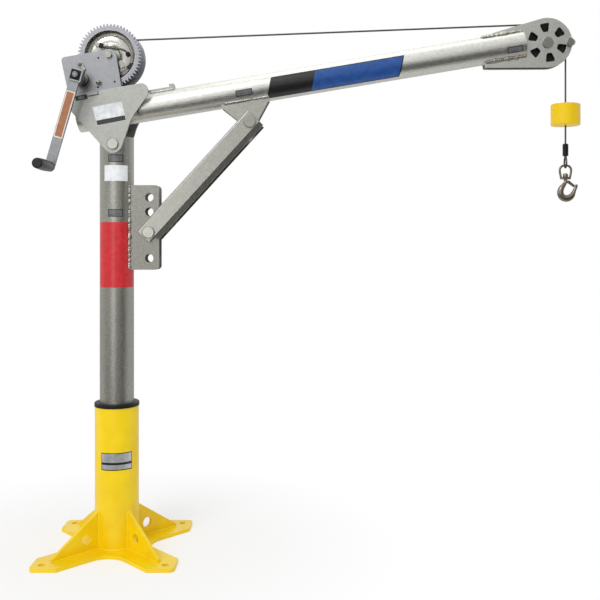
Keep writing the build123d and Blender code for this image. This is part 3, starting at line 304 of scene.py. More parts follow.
black_nylon = dark_plastic("black_nylon", "#0d0d0e", "#19191b", 2.0, 0.5, 0.05)
grip_plastic = dark_plastic("grip_plastic", "#141415", "#232325", 1.2, 0.34, 0.06)
sleeve_plastic = dark_plastic("sleeve_plastic", "#0b0b0b", "#161616", 3.0, 0.36, 0.1)
black_oxide = dark_metal("black_oxide", "#101010", "#222222", 4.0, 0.7, (0.3, 0.5), 0.05)
rope_wire = dark_metal("rope_wire", "#3b3833", "#77726a", 1.2, 0.85, (0.32, 0.55), 0.05)
forged_steel = dark_metal("forged_steel", "#71685b", "#8f8678", 9.0, 0.9, (0.26, 0.42), 0.06)
print("dark finishes made")

# %% [markdown]
# ## Vinyl labels
# The crane wears vinyl labels: flat colours under a smooth clear film. Each is a plain field of colour with
# the faint mottle of a film laid on grained metal, so one recipe with two close shades serves them all.


# %% Vinyl finishes
def vinyl(name, colour, shade, roughness=0.35, metallic=0.0):
    """A printed film: one colour with a faint darker mottle, and the metal's grain showing through."""
    material, tree, shader = new_material(name, Roughness=roughness, Metallic=metallic)
    mottle = pattern(tree, 12.0, detail=3.0)
    film = blend_colours(tree, spread(tree, mottle, 0.0, 1.0), shade, colour)
    tree.links.new(film, shader.inputs["Base Color"])
    relief(tree, shader, pattern(tree, 2.0), 0.03)
    return material


vinyl_blue = vinyl("vinyl_blue", "#17509c", "#134386")
vinyl_black = vinyl("vinyl_black", "#1b1b1d", "#131314")
vinyl_white = vinyl("vinyl_white", "#eef0f2", "#dfe2e5")
vinyl_red = vinyl("vinyl_red", "#d3252b", "#bf1d24")
vinyl_orange = vinyl("vinyl_orange", "#a86a44", "#96603f")
vinyl_cream = vinyl("vinyl_cream", "#eadfd0", "#ddd0bf")
vinyl_grey = vinyl("vinyl_grey", "#6d6e70", "#58595b")
foil_silver = vinyl("foil_silver", "#c9ccce", "#b3b6b8", roughness=0.3, metallic=0.6)
print("vinyl finishes made")

# %% [markdown]
# ## Dressing the solid pieces
# A piece from the model keeps its shape, and its material slot gets the finish of the real one.

# %% Finishes for the model's pieces
FINISHES = {
    yellow_coat: ["base_plate", "socket_tube", "gusset_right_far", "gusset_left_far", "gusset_left_near",
                  "gusset_right_near"],
    black_nylon: ["socket_bushing", "thrust_cup", "sheave"],
    mast_zinc: ["mast_tube"],
    boom_zinc: ["boom_tube"],
    zinc_plate: ["head_plate_near", "head_plate_far", "boom_cheek_near", "boom_cheek_far", "boom_strap",
                 "winch_base"],
    lug_zinc: ["mast_lug_near", "mast_lug_far"],
    strut_zinc: ["strut", "boom_lug_near", "boom_lug_far"],
    tip_zinc: ["tip_plate_near", "tip_plate_far"],
    winch_zinc: ["winch_floor", "winch_plate_near", "winch_plate_far", "crank_hub"],
    arm_zinc: ["crank_arm"],
    lit_flange_zinc: ["drum_spool"],
    gear_zinc: ["drum_gear"],
    bright_zinc: ["head_pin", "strut_pin_lower", "strut_pin_upper", "sheave_pin", "rope_keeper", "drum_shaft",
                  "rope_clamps", "grip_spindle", "pinion_shaft", "brake_disc", "brake_pawl"],
    black_oxide: ["crank_nut"],
    rope_wire: ["rope_line", "rope_fall", "rope_wraps", "rope_tail", "rope_eye"],
    grip_plastic: ["crank_grip"],
    sleeve_plastic: ["rope_sleeve"],
    float_yellow: ["rope_float"],
    forged_steel: ["hook_bail", "hook", "hook_latch"],
}
for material, names in FINISHES.items():
    for node_name in names:
        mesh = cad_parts[node_name].data
        mesh.materials.clear()
        mesh.materials.append(material)
print("dressed", sum(len(names) for names in FINISHES.values()), "pieces")

# %% [markdown]
# ## Making surfaces
# Each new piece is one or more closed grids: rows of points carried along something, each row a closed
# outline. Rows join to their neighbours, the last column joins the first, and the two ends get a cap.


# %% Helpers for surfaces
def closed_faces(rows, columns, start, looped):
    """Index arithmetic for a closed grid: quads between neighbouring rows and columns, and a cap at each end.
    A looped grid joins its last row to its first instead, as a ring does."""
    index = np.arange(rows * columns).reshape(rows, columns) + start
    caps = [] if looped else [index[0, ::-1].tolist(), index[-1].tolist()]
    index = np.concatenate([index, index[:1]]) if looped else index
    after = np.roll(index, -1, axis=1)
    quads = np.stack([index[:-1], after[:-1], after[1:], index[1:]], axis=-1).reshape(-1, 4)
    return quads.tolist() + caps


def piece(name, grids, body, material, sharp=35, looped=False):
    """One mesh from closed grids (rows x columns x 3, in mm), welded at its poles and turned outwards."""
    faces, start = [], 0
    for grid in grids:
        faces += closed_faces(grid.shape[0], grid.shape[1], start, looped)
        start += grid.shape[0] * grid.shape[1]
    points = np.concatenate([grid.reshape(-1, 3) for grid in grids]) * MM
    mesh = bpy.data.meshes.new(name)
    mesh.from_pydata(points, [], faces)
    made = bmesh.new()
    made.from_mesh(mesh)
    bmesh.ops.remove_doubles(made, verts=made.verts, dist=1e-6)
    bmesh.ops.dissolve_degenerate(made, edges=made.edges, dist=1e-7)
    bmesh.ops.recalc_face_normals(made, faces=made.faces)
    made.to_mesh(mesh)
    made.free()
    mesh.shade_smooth()
    mesh.set_sharp_from_angle(angle=radians(sharp))
    mesh.materials.append(material)
    made_object = bpy.data.objects.new(name, mesh)
    bpy.context.scene.collection.objects.link(made_object)
    if body:
        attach(made_object, body)
    print(name, len(mesh.polygons), "faces")
    return made_object


def unit(vectors):
    """Vectors divided by their own lengths."""
    return vectors / np.linalg.norm(vectors, axis=-1, keepdims=True)


def resample(path, step):
    """The same path with evenly spaced points about step apart: each coordinate as a function of the
    length walked."""
    path = np.asarray(path, float)
    walked = np.concatenate([[0], np.cumsum(np.linalg.norm(np.diff(path, axis=0), axis=1))])
    even = np.linspace(0, walked[-1], max(2, int(walked[-1] / step) + 1))
    return np.stack([np.interp(even, walked, path[:, k]) for k in range(3)], axis=-1), even


def carry(path, outward, outline):
    """Carries an outline along a path: point = path + side * x + lift * y. The lift is the outward
    direction made square to the path, and the side is square to both. The outline is columns x 2, or
    rows x columns x 2."""
    heading = unit(np.gradient(path, axis=0))
    outward = np.broadcast_to(outward, path.shape)
    lift = unit(outward - np.sum(outward * heading, axis=-1, keepdims=True) * heading)
    side = np.cross(heading, lift)
    return path[:, None] + outline[..., 0:1] * side[:, None] + outline[..., 1:2] * lift[:, None]


def lathe(profile, origin, axis, sides=32):
    """Turns a profile of (radius, height) points about an axis: origin + height * axis + radius * a
    unit circle."""
    axis = unit(np.asarray(axis, float))
    first = unit(np.cross(axis, UP if abs(axis[2]) < 0.9 else np.array([1.0, 0, 0])))
    angle = np.linspace(0, 2 * pi, sides, endpoint=False)
    circle = np.cos(angle)[:, None] * first + np.sin(angle)[:, None] * np.cross(axis, first)
    profile = np.asarray(profile, float)
    return np.asarray(origin) + profile[:, 1, None, None] * axis + profile[:, 0, None, None] * circle


def prism(outline, origin, x_dir, y_dir, low, high, soft=0.4):
    """Raises a flat outline from low to high along x_dir x y_dir, drawn in by soft at both rims."""
    outline = np.asarray(outline, float)
    middle = outline.mean(axis=0)
    drawn_in = middle + (outline - middle) * (1 - soft / np.abs(outline - middle).max())
    rows = [drawn_in, outline, outline, drawn_in]
    levels = [low, low + soft, high - soft, high]
    raised = np.cross(x_dir, y_dir)
    return np.stack([origin + row[:, 0:1] * x_dir + row[:, 1:2] * y_dir + level * raised
                     for row, level in zip(rows, levels)])


def hexagon(radius, turn=0.0):
    """Six corners of a nut: radius * (cos, sin) at every sixth of a turn, from turn in degrees."""
    angle = radians(turn) + np.arange(6) * pi / 3
    return np.stack([radius * np.cos(angle), radius * np.sin(angle)], axis=-1)


# %% [markdown]
# ## Wire rope
# Wire rope is strands laid in a helix round a core. From outside it reads as a round bar with slanting
# ridges, so its outline is a circle with one bump for each strand, turned a little further at each step.


# %% Rope surfaces
STRANDS = 7
ROPE_LAY = 32.0
VALLEY = 0.16


def strands(walked, sides):
    """The rope's outline at each length walked: radius = R * (1 - valley + valley * |cos(strands / 2 *
    (angle - turn))|), and the turn grows by one whole circle in each lay."""
    angle = np.linspace(0, 2 * pi, sides, endpoint=False)
    turned = angle[None] - 2 * pi * walked[:, None] / ROPE_LAY
    radius = ROPE_RADIUS * (1 - VALLEY + VALLEY * np.abs(np.cos(STRANDS / 2 * turned)))
    return np.stack([radius * np.cos(angle), radius * np.sin(angle)], axis=-1)


def rope(path, outward, step=2.0, sides=28):
    """A stranded rope along a path, with one outward direction for the whole path."""
    line, walked = resample(path, step)
    return carry(line, outward, strands(walked, sides))


def arc(middle, radius, start, end, steps, y=0.0):
    """Points of an arc in the plane of the boom: middle + radius * (cos, sin), from one angle to another
    in degrees."""
    angle = np.radians(np.linspace(start, end, steps))
    x, z = middle[0] + radius * np.cos(angle), middle[2] + radius * np.sin(angle)
    return np.stack([x, np.full(steps, y), z], axis=-1)


wraps_low, wraps_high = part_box("rope_wraps")
WRAPS_RADIUS = (wraps_high[0] - wraps_low[0]) / 2 / MM
DRUM_ROPE = WRAPS_RADIUS + 0.3 + ROPE_RADIUS
WHEEL_ROPE = rope_x - wheel[0]
# The taut run touches both circles, so its climb is that of the line between their centres plus
# arcsin(difference of the radii / gap), and it leaves the drum a quarter turn round from there.
gap = np.hypot(wheel[0] - drum[0], wheel[2] - drum[2])
climb = np.arctan2(wheel[2] - drum[2], wheel[0] - drum[0]) + np.arcsin((WHEEL_ROPE - DRUM_ROPE) / gap)
lift_off = np.degrees(climb) + 90
taut_path = np.concatenate([arc(drum, DRUM_ROPE, lift_off + 80, lift_off, 40),
                            arc(wheel, WHEEL_ROPE, lift_off, 0, 60)])
taut_rope = piece("taut_rope", [rope(taut_path, NEAR)], "mast", rope_wire, sharp=60)
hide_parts("rope_line")

fall_low, fall_high = (corner[2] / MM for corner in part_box("rope_fall"))
fall_path = [(rope_x, 0, fall_high), (rope_x, 0, fall_low)]
falling_rope = piece("falling_rope", [rope(fall_path, NEAR)], None, rope_wire, sharp=60)
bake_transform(falling_rope)
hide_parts("rope_fall")

# %% [markdown]
# ## Rope on the drum and at the hook
# The winch lays the rope in close turns, so the outer layer is one helix that climbs along the drum. Under
# it lies a plain core of rope that nobody sees. At the hook the rope turns round in an eye and goes back
# into its black sleeve.

# %% Rope on the drum
wraps_near, wraps_far = wraps_low[1] / MM, wraps_high[1] / MM
# A helix: the angle grows evenly while y moves on by 2.04 rope radii a turn, so the turns lie just apart.
LAY_PITCH = 2.04
CORE_RADIUS = WRAPS_RADIUS - 3.2
lay_width = wraps_far - wraps_near - 2 * ROPE_RADIUS
lay_angle = np.linspace(0, 2 * pi * lay_width / (LAY_PITCH * ROPE_RADIUS), 900)
lay_radius = WRAPS_RADIUS - ROPE_RADIUS
lay_path = np.stack([drum[0] + lay_radius * np.cos(lay_angle),
                     wraps_near + ROPE_RADIUS + lay_angle / (2 * pi) * LAY_PITCH * ROPE_RADIUS,
                     drum[2] + lay_radius * np.sin(lay_angle)], axis=-1)
lay_outward = np.stack([np.cos(lay_angle), 0 * lay_angle, np.sin(lay_angle)], axis=-1)


def rope_round(path, outward, sides=14):
    """A stranded rope along a path that is already evenly spaced, with an outward direction for each
    point."""
    walked = np.concatenate([[0], np.cumsum(np.linalg.norm(np.diff(path, axis=0), axis=1))])
    return carry(path, outward, strands(walked, sides))


core = lathe([(0, wraps_near), (CORE_RADIUS, wraps_near), (CORE_RADIUS, wraps_far), (0, wraps_far)],
             (drum[0], 0, drum[2]), (0, 1, 0), sides=64)
laid_rope = piece("laid_rope", [rope_round(lay_path, lay_outward), core], "drum", rope_wire,
                  sharp=60)
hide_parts("rope_wraps")

# %% Rope's eye
# The eye is a drop whose two legs start and end side by side. With t from 0 to a whole turn, y swings as
# sin(t) * sin(t / 2) ** 0.35 and z falls and climbs again as ((1 - cos(t)) / 2) ** 0.8.
eye_low, eye_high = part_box("rope_eye")
eye_half = (eye_high[1] - eye_low[1]) / 2 / MM - ROPE_RADIUS
eye_turn = np.linspace(0, 2 * pi, 121)
eye_tall = (eye_high[2] - eye_low[2]) / MM
eye_drop = (1 - np.cos(eye_turn)) / 2
eye_path = np.stack([np.full(121, rope_x), -(ROPE_RADIUS + 0.1) * np.cos(eye_turn / 2) - (eye_half - 0.2) *
                     np.sin(eye_turn) * np.sin(eye_turn / 2) ** 0.35,
                     eye_high[2] / MM - (eye_tall - ROPE_RADIUS) * eye_drop ** 0.8], axis=-1)
eye_rope = piece("eye_rope", [rope(eye_path, (1, 0, 0), step=1.0)], "hook_block", rope_wire,
                 sharp=60)
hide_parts("rope_eye")

# %% [markdown]
# The rope's end is clamped in the dish of the gear: it leaves the first clamp, arcs over the hub and ends
# in a black crimped cap. The arc is a cubic curve with the first clamp's direction at its start.

# %% Rope's end in the dish
tail_points = np.array([(-19.6, 25.58), (3.89, 17.03), (38.0, 26.0), (47.0, 5.0)])
RING_FACE = -23.0
TAIL_LIFT = 4.5
s = np.linspace(0, 1, 60)[:, None]
tail_flat = ((1 - s) ** 3 * tail_points[0] + 3 * s * (1 - s) ** 2 * tail_points[1] +
             3 * s ** 2 * (1 - s) * tail_points[2] + s ** 3 * tail_points[3])
tail_x, tail_z = drum[0] + tail_flat[:, 0], drum[2] + tail_flat[:, 1]
tail_path = np.stack([tail_x, np.full(60, RING_FACE - TAIL_LIFT), tail_z], axis=-1)
tail_rope = piece("tail_rope", [rope(tail_path, NEAR)], "drum", rope_wire, sharp=60)
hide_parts("rope_tail")
cap_foot = (drum[0] + tail_points[-1, 0], RING_FACE, drum[2] + tail_points[-1, 1])
cap = [(0, -0.5), (6.0, -0.5), (6.0, 9.0), (5.2, 10.6), (3.4, 11.0), (3.0, 9.6), (0, 9.4)]
piece("tail_cap", [lathe(cap, cap_foot, NEAR)], "drum", black_oxide)

# %% [markdown]
# The dish is pressed from sheet, so the ring that carries the clamps is softly crowned and catches light on
# one side and shade on the other. The crown is a parabola across the ring, turned about the drum's axis.

# %% Crown of the pressed ring
RING_MIDDLE, RING_HALF, CROWN = 40.0, 12.4, 1.9
CROWN_CLEAR, FOOT_SUNK = 0.05, 0.5
across_ring = np.linspace(-1, 1, 17)
crown_lift = CROWN_CLEAR + CROWN * (1 - across_ring ** 2)
crown_profile = np.stack([RING_MIDDLE + RING_HALF * across_ring, crown_lift], axis=-1)
inner_foot, outer_foot = (RING_MIDDLE - RING_HALF, -FOOT_SUNK), (RING_MIDDLE + RING_HALF, -FOOT_SUNK)
crown_profile = np.concatenate([[inner_foot], crown_profile, [outer_foot]])
crown_ring = lathe(crown_profile, (drum[0], RING_FACE, drum[2]), NEAR, sides=96)
piece("dish_crown", [crown_ring], "drum", gear_zinc, looped=True)

# %% [markdown]
# ## Weld beads
# A weld is a row of frozen puddles: a low rounded bead whose top shows one ripple every few millimetres
# and whose edge wanders. The bead here is an ellipse carried along the seam; its size swells once each
# puddle, the ripple lags at the edges, and seeded noise makes the edge wander.


# %% Weld helper
def bead(path, outward, width, height, pitch=4.5, wander=0.12, seed=1):
    """Half-axes width and height times (0.9 + ripple) * (1 + noise). The ripple is 0.16 * |sin(pi * s /
    pitch)|, with s moved back towards the bead's edges. Both ends taper as a quarter circle."""
    line, walked = resample(path, 0.9)
    random = np.random.default_rng(seed)
    knots = np.arange(0, walked[-1] + 12, 6.0)
    noise = np.interp(walked, knots, random.normal(0, wander, len(knots)))
    angle = np.linspace(0, 2 * pi, 16, endpoint=False)
    ripple = 0.16 * np.abs(np.sin(pi * (walked[:, None] - 0.3 * pitch * np.cos(angle)[None] ** 2) / pitch))
    end = np.clip(np.minimum(walked, walked[-1] - walked) / width, 0.02, 1)
    taper = np.sqrt(1 - (1 - end) ** 2)
    size = (0.9 + ripple) * (1 + noise)[:, None] * taper[:, None]
    outline = np.stack([width * np.cos(angle) * size, height * np.sin(angle) * size], axis=-1)
    if np.ndim(outward) == 2:
        given = np.linspace(0, walked[-1], len(outward))
        outward = np.stack([np.interp(walked, given, outward[:, k]) for k in range(3)], axis=-1)
    return carry(line, outward, outline)


# %% Welds of the pedestal
base_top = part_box("base_plate")[1][2] / MM
gusset_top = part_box("gusset_right_far")[1][2] / MM
GUSSET_HALF = 4.75
GUSSET_REACH = 186.0
pedestal_beads = []
for quarter in range(4):
    turn = radians(45 + 90 * quarter)
    out = np.array([cos(turn), sin(turn), 0])
    for hand in (-1, 1):
        across = hand * np.array([-sin(turn), cos(turn), 0])
        seam = out * SOCKET_RADIUS + across * GUSSET_HALF
        seed = 10 * quarter + hand
        foot = seam + UP * base_top
        pedestal_beads.append(bead([foot, seam + UP * gusset_top], across + out, 3.2, 2.6, seed=seed + 50))
        pedestal_beads.append(bead([foot, foot + out * (GUSSET_REACH - SOCKET_RADIUS)], across + UP, 3.2, 2.6,
                                   seed=seed + 90))
ring_angle = np.linspace(0, 2 * pi, 120)
ring_x, ring_y = SOCKET_RADIUS * np.cos(ring_angle), SOCKET_RADIUS * np.sin(ring_angle)
ring = np.stack([ring_x, ring_y, np.full(120, base_top)], axis=-1)
pedestal_beads.append(bead(ring, ring * (1, 1, 0) / SOCKET_RADIUS + UP, 3.4, 2.8, seed=7))
piece("pedestal_welds", pedestal_beads, "pedestal", yellow_coat, sharp=70)

# %% [markdown]
# On the mast and the boom the beads are bare metal, brushed bright and then plated with the rest.

# %% Welds of the mast and the boom
lug_low, lug_high = (corner[2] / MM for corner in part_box("mast_lug_near"))
LUG_FACE = -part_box("mast_lug_near")[0][1] / MM
mast_seam = np.sqrt(MAST_RADIUS ** 2 - LUG_FACE ** 2)
steel_beads = [bead([(mast_seam, hand * LUG_FACE, lug_low), (mast_seam, hand * LUG_FACE, lug_high)],
                    (0.6, hand, 0), 4.6, 3.8, pitch=6.0, wander=0.3, seed=20 + hand) for hand in (-1, 1)]
BOOM_LUG_FACE = -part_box("boom_lug_near")[0][1] / MM
BOOM_LUG_SPAN = np.array([284.0, 405.0])
boom_seam = np.sqrt(BOOM_RADIUS ** 2 - BOOM_LUG_FACE ** 2)
for hand in (-1, 1):
    lug_line = boom_point(BOOM_LUG_SPAN, -boom_seam, hand * BOOM_LUG_FACE)
    steel_beads.append(bead(lug_line, ACROSS * -0.5 + NEAR * -hand, 4.2, 3.4, pitch=6.0, wander=0.2,
                            seed=30 + hand))
STRAP_HALF = 16.0
STRAP_SPAN = np.array([97.0, 161.0])
CHEEK_END = 65.0
strap_seam = np.sqrt(BOOM_RADIUS ** 2 - STRAP_HALF ** 2)
for hand in (-1, 1):
    strap_line = boom_point(STRAP_SPAN, strap_seam + 1.0, hand * (STRAP_HALF + 1))
    steel_beads.append(bead(strap_line, ACROSS + NEAR * -hand, 3.0, 2.4, seed=60 + hand))
    seam_angle = np.radians(np.linspace(-42, 50, 30))
    above_boom, beside_boom = BOOM_RADIUS * np.sin(seam_angle), hand * BOOM_RADIUS * np.cos(seam_angle)
    cheek_line = boom_point(CHEEK_END, above_boom, beside_boom)
    steel_beads.append(bead(cheek_line, unit(cheek_line - boom_point(CHEEK_END, 0, 0)), 4.2, 4.6, pitch=6.0,
                            seed=70 + hand))
piece("mast_welds", steel_beads, "mast", weld_metal, sharp=70)

TIP_FACE = 17.0
TIP_SPAN = np.array([981.0, 1090.0])
tip_seam = np.sqrt(BOOM_RADIUS ** 2 - TIP_FACE ** 2)
tip_beads = []
for hand in (-1, 1):
    for side in (-1, 1):
        tip_line = boom_point(TIP_SPAN, side * (tip_seam + 1.5), hand * (TIP_FACE + 1))
        tip_beads.append(bead(tip_line, ACROSS * side + NEAR * -hand, 5.2, 3.8, pitch=6.0, wander=0.28,
                              seed=40 + 3 * hand + side))
piece("tip_welds", tip_beads, "mast", weld_metal, sharp=70)

# %% [markdown]
# ## Labels
# A label is a film a tenth of a millimetre thick that follows the metal under it. Its surface is a
# function of two parameters, along and around, laid on a skin: the boom's cylinder, the mast's cylinder
# or a flat plate. A closed grid gives the film its thickness, and layers stack without touching.


# %% Label helpers
def boom_skin(along, angle, lift):
    """A point on the boom's tube: angle in degrees from the near side towards the top."""
    turn = np.radians(angle)
    return boom_point(along, (BOOM_RADIUS + lift) * np.sin(turn), -(BOOM_RADIUS + lift) * np.cos(turn))


def post_skin(radius):
    """The skin of an upright tube: angle in degrees from the near side towards +X, and height."""
    def skin(angle, height, lift):
        """radius + lift at that angle and height."""
        turn, height = np.radians(angle), np.broadcast_to(height, np.shape(lift))
        x, y = (radius + lift) * np.sin(turn), -(radius + lift) * np.cos(turn)
        return np.stack([x, y, height + 0 * turn], axis=-1)
    return skin


def flat_skin(origin, x_dir, y_dir):
    """The skin of a flat plate that faces the near side."""
    def skin(x, y, lift):
        """origin + x * x_dir + y * y_dir, lifted towards the near side."""
        return np.asarray(origin) + x[..., None] * x_dir + y[..., None] * y_dir + lift[..., None] * NEAR
    return skin


def label(name, skin, left, right, low, high, material, slot, layer=0, slant=0.0, body="mast",
          steps=(12, 14)):
    """A film between left and right, low and high. Its sides lean by slant. Each row runs low to high on the
    film's face and back high to low on its underside, so that the rows make a closed sleeve."""
    film, clearance = 0.12, 0.03
    s = np.linspace(0, 1, steps[0])[:, None]
    t = np.concatenate([np.linspace(0, 1, steps[1]), np.linspace(1, 0, steps[1])])[None]
    under = np.concatenate([np.ones(steps[1]), np.zeros(steps[1])])[None]
    s, t, under = np.broadcast_arrays(s, t, under)
    lift = clearance + layer * (film + clearance) + film * under
    grid = skin(left + (right - left) * s + slant * t, low + (high - low) * t, lift)
    return piece(name, [grid], body, material)


# %% Labels on the boom
BOOM_LABEL = dict(low=-62.0, high=31.0, slant=21.0)
label("boom_label_border", boom_skin, 397, 750, material=vinyl_black, slot="galvanised_tube", **BOOM_LABEL)
INNER = dict(low=-58.0, high=27.0, slant=19.2)
label("boom_label_blue", boom_skin, 516, 747.5, material=vinyl_blue, slot="galvanised_tube", layer=1, **INNER)
label("boom_plate_rear", boom_skin, 320, 364, -28, -2, vinyl_black, "galvanised_tube")
label("boom_plate_rear_face", boom_skin, 322, 362, -25, -5, vinyl_grey, "galvanised_tube", layer=1)
label("boom_plate_tip", boom_skin, 1039, 1080, -37, -11, vinyl_black, "galvanised_tube")
label("boom_plate_tip_face", boom_skin, 1041, 1078, -34, -14, vinyl_grey, "galvanised_tube", layer=1)

# %% Labels on the mast and the pedestal
mast_skin = post_skin(MAST_RADIUS)
SMALL_PLATE = dict(slot="galvanised_tube", steps=(16, 4))
label("mast_plate_high", mast_skin, -18, 33, 1013.7, 1033.7, vinyl_black, **SMALL_PLATE)
label("mast_plate_high_face", mast_skin, -15.5, 30.5, 1015.7, 1031.7, vinyl_grey, layer=1, **SMALL_PLATE)
label("mast_plate_white", mast_skin, -33, 50, 964.6, 1005.7, vinyl_white, "galvanised_tube", steps=(24, 4))
label("mast_plate_low", mast_skin, -18, 33, 871.5, 891.3, vinyl_black, **SMALL_PLATE)
label("mast_plate_low_face", mast_skin, -15.5, 30.5, 873.5, 889.3, vinyl_grey, layer=1, **SMALL_PLATE)
label("mast_band_red", mast_skin, -64, 86, 687.0, 857.6, vinyl_red, "galvanised_tube", steps=(40, 4))
socket_skin = post_skin(SOCKET_RADIUS)
ON_SOCKET = dict(slot="yellow_powder_coat", body="pedestal", steps=(24, 4))
label("socket_plate", socket_skin, -31, 54, 215.0, 260.3, vinyl_black, **ON_SOCKET)
label("socket_plate_face", socket_skin, -29, 52, 217.5, 258.3, foil_silver, layer=1, **ON_SOCKET)
label("socket_plate_stripe", socket_skin, -29, 52, 229.5, 235.5, vinyl_black, layer=2, **ON_SOCKET)

# %% Labels on the head plate and the crank's arm
HEAD_FACE = -51.0
label_along, label_up = unit(np.array([74.3, 0.0, 14.2])), unit(np.array([-11.4, 0.0, 46.0]))
head_skin = flat_skin((-40.5, HEAD_FACE, 1108.1), label_along, label_up)
ON_HEAD = dict(slot="zinc_plate", steps=(2, 2))
label("head_plate_label", head_skin, 0, 77.0, -1.5, 48.5, foil_silver, **ON_HEAD)
label("head_plate_label_band", head_skin, 1, 76.0, -0.5, 12, vinyl_black, layer=1, **ON_HEAD)
rear_skin = flat_skin((-97.0, HEAD_FACE, 1170.5), ALONG, ACROSS)
label("head_strip", rear_skin, 2, 33, 0, 12.5, vinyl_black, **ON_HEAD)
label("head_strip_face", rear_skin, 9, 25, 2.5, 10, vinyl_grey, layer=1, **ON_HEAD)
grip = centre("grip_spindle")
DOWN_ARM = unit((grip - crank) * (1, 0, 1))
ARM_SIDE = np.cross(NEAR, DOWN_ARM)
arm_face = -105.0
arm_skin = flat_skin((crank[0], arm_face, crank[2]), DOWN_ARM, ARM_SIDE)
ON_ARM = dict(slot="zinc_sheet", body="crank", steps=(2, 2))
label("arm_label_border", arm_skin, 43, 165, -11.5, 11.5, vinyl_cream, **ON_ARM)
label("arm_label", arm_skin, 46, 162, -9, 9, vinyl_orange, layer=1, **ON_ARM)

# %% [markdown]
# ## Small fasteners of the winch
# The winch's near plate carries an acorn nut, and the bolt of the brake's pawl ends in a stud with a nut.
# The pawl and the plate's holes are in the solids. A nut is a hexagonal prism with soft rims, and the
# acorn's dome and the stud are profiles turned about their axis.

# %% Winch fasteners
PLATE_FACE = -44.0


def on_plate(along, across, y=PLATE_FACE):
    """A point on the winch's near plate."""
    return boom_point(along, across, y)


def nut(place, radius, thickness, turn=0.0):
    """A hexagonal nut that stands off the near side."""
    return prism(hexagon(radius, turn), place, ALONG, ACROSS, 0.0, thickness)


acorn = on_plate(-25, 76)
dome = [(5.8, 0), (5.8, 4), (5.2, 6.5), (3.6, 8.6), (1.8, 9.6), (0, 9.9)]
acorn_grids = [nut(acorn, 7.5, 5.0, 12), lathe([(0, 0)] + dome, acorn + NEAR * 3.0, NEAR)]
piece("acorn_nut", acorn_grids, "mast", bright_zinc)
pawl = on_plate(-66, 131, -53.0)
stud = [(0, 0), (3.0, 0), (3.0, 8), (2.4, 8.8), (0, 8.8)]
piece("pawl_nut", [nut(pawl, 5.4, 4.5, 20), lathe(stud, pawl, NEAR)], "mast", bright_zinc)

# %% [markdown]
# The crank's hub ends in a thin black pad under a bright round nut. Round the brake's disc a black ring
# between bright rims is painted shade, where the disc's groove lies in shadow. A thin spring clip goes round
# the head of the pin that keeps the rope on its wheel.

# %% Crank nut, painted shade of the brake's groove, and clip
pad_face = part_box("crank_nut")[0][1] / MM + 4.0
nut_profile = [(0, 0), (7.4, 0), (7.4, 3.6), (6.6, 4.4), (5.2, 4.4), (4.7, 3.2), (4.0, 3.2), (3.7, 5.4),
               (0, 5.6)]
round_nut = lathe(nut_profile, (crank[0], pad_face, crank[2]), NEAR)
piece("crank_round_nut", [round_nut], "crank", winch_zinc)
# A black ring of painted shade stands where the brake disc's groove lies in shadow, between its bright rims.
ring_profile = [(17.0, 0), (18.8, 0), (18.8, 8.6), (17.0, 8.6)]
groove_shade_ring = lathe(ring_profile, (crank[0], crank[1] + 4.3, crank[2]), NEAR, sides=48)
piece("brake_groove_shade", [groove_shade_ring], "crank", black_oxide)
keeper = centre("rope_keeper")
# The clip is open by a sixth of a turn, and its ends spring outwards: radius = 9.6 + 1.2 * u ** 4, with u
# from -1 to 1 along the wire.
clip_turn = np.radians(np.linspace(75, 375, 60))
clip_reach = 9.6 + 1.2 * np.linspace(-1, 1, 60) ** 4
clip_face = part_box("rope_keeper")[0][1] / MM - 0.6
clip_path = np.stack([keeper[0] + clip_reach * np.cos(clip_turn), np.full(60, clip_face),
                      keeper[2] + clip_reach * np.sin(clip_turn)], axis=-1)
wire_turn = np.linspace(0, 2 * pi, 10, endpoint=False)
wire_outline = 0.9 * np.stack([np.cos(wire_turn), np.sin(wire_turn)], axis=-1)
piece("keeper_clip", [carry(clip_path, NEAR, wire_outline)], "mast", bright_zinc)

# %% [markdown]
# In the dish, the inner half of the first rope clamp is a black jaw, and a black rubber block sits against
# the dish's wall.

# %% Black jaw and block in the dish
def turned_pair(degrees):
    """Two directions square to each other in the plane of the boom, the first at an angle from +X."""
    turn = radians(degrees)
    return np.array([cos(turn), 0, sin(turn)]), np.array([-sin(turn), 0, cos(turn)])


jaw_x, jaw_y = turned_pair(-20)
jaw_middle = np.array([drum[0] - 29.0, RING_FACE, drum[2] + 29.0])
half_jaw = [(1.0, -6.3), (10.3, -6.3), (10.3, 6.3), (1.0, 6.3)]
jaw = prism(half_jaw, jaw_middle, jaw_x, jaw_y, -0.5, 9.4)
piece("clamp_jaw", [jaw], "drum", black_oxide)
block_x, block_y = turned_pair(35)
block_middle = np.array([drum[0] + 53.0, -20.0, drum[2] - 27.0])
block = [(-8.5, -6.0), (8.5, -6.0), (8.5, 6.0), (-8.5, 6.0)]
rubber = prism(block, block_middle, block_x, block_y, 0.0, 9.0)
piece("dish_block", [rubber], "drum", grip_plastic)
print("trim of the winch made")

# %% [markdown]
# ## Floor and light
# The object stands on a plain pale floor, which turns to the camera's own white away from the shadow. The
# world is white to the camera and to mirrors, and gives a plain level of light. A large soft lamp from
# above and to the left models the forms, and a tall narrow one draws a line of light down the upright
# tubes. Two dark cards that only mirrors see, one lying in front and one upright on the right, give the
# tubes the dark bands that bright metal shows in a studio.

# %% Floor
def flat_sheet(name, corners):
    """A stage sheet with four corners, in metres."""
    mesh = bpy.data.meshes.new(name)
    mesh.from_pydata(corners, [], [(0, 1, 2, 3)])
    sheet = bpy.data.objects.new(name, mesh)
    bpy.context.scene.collection.objects.link(sheet)
    return sheet


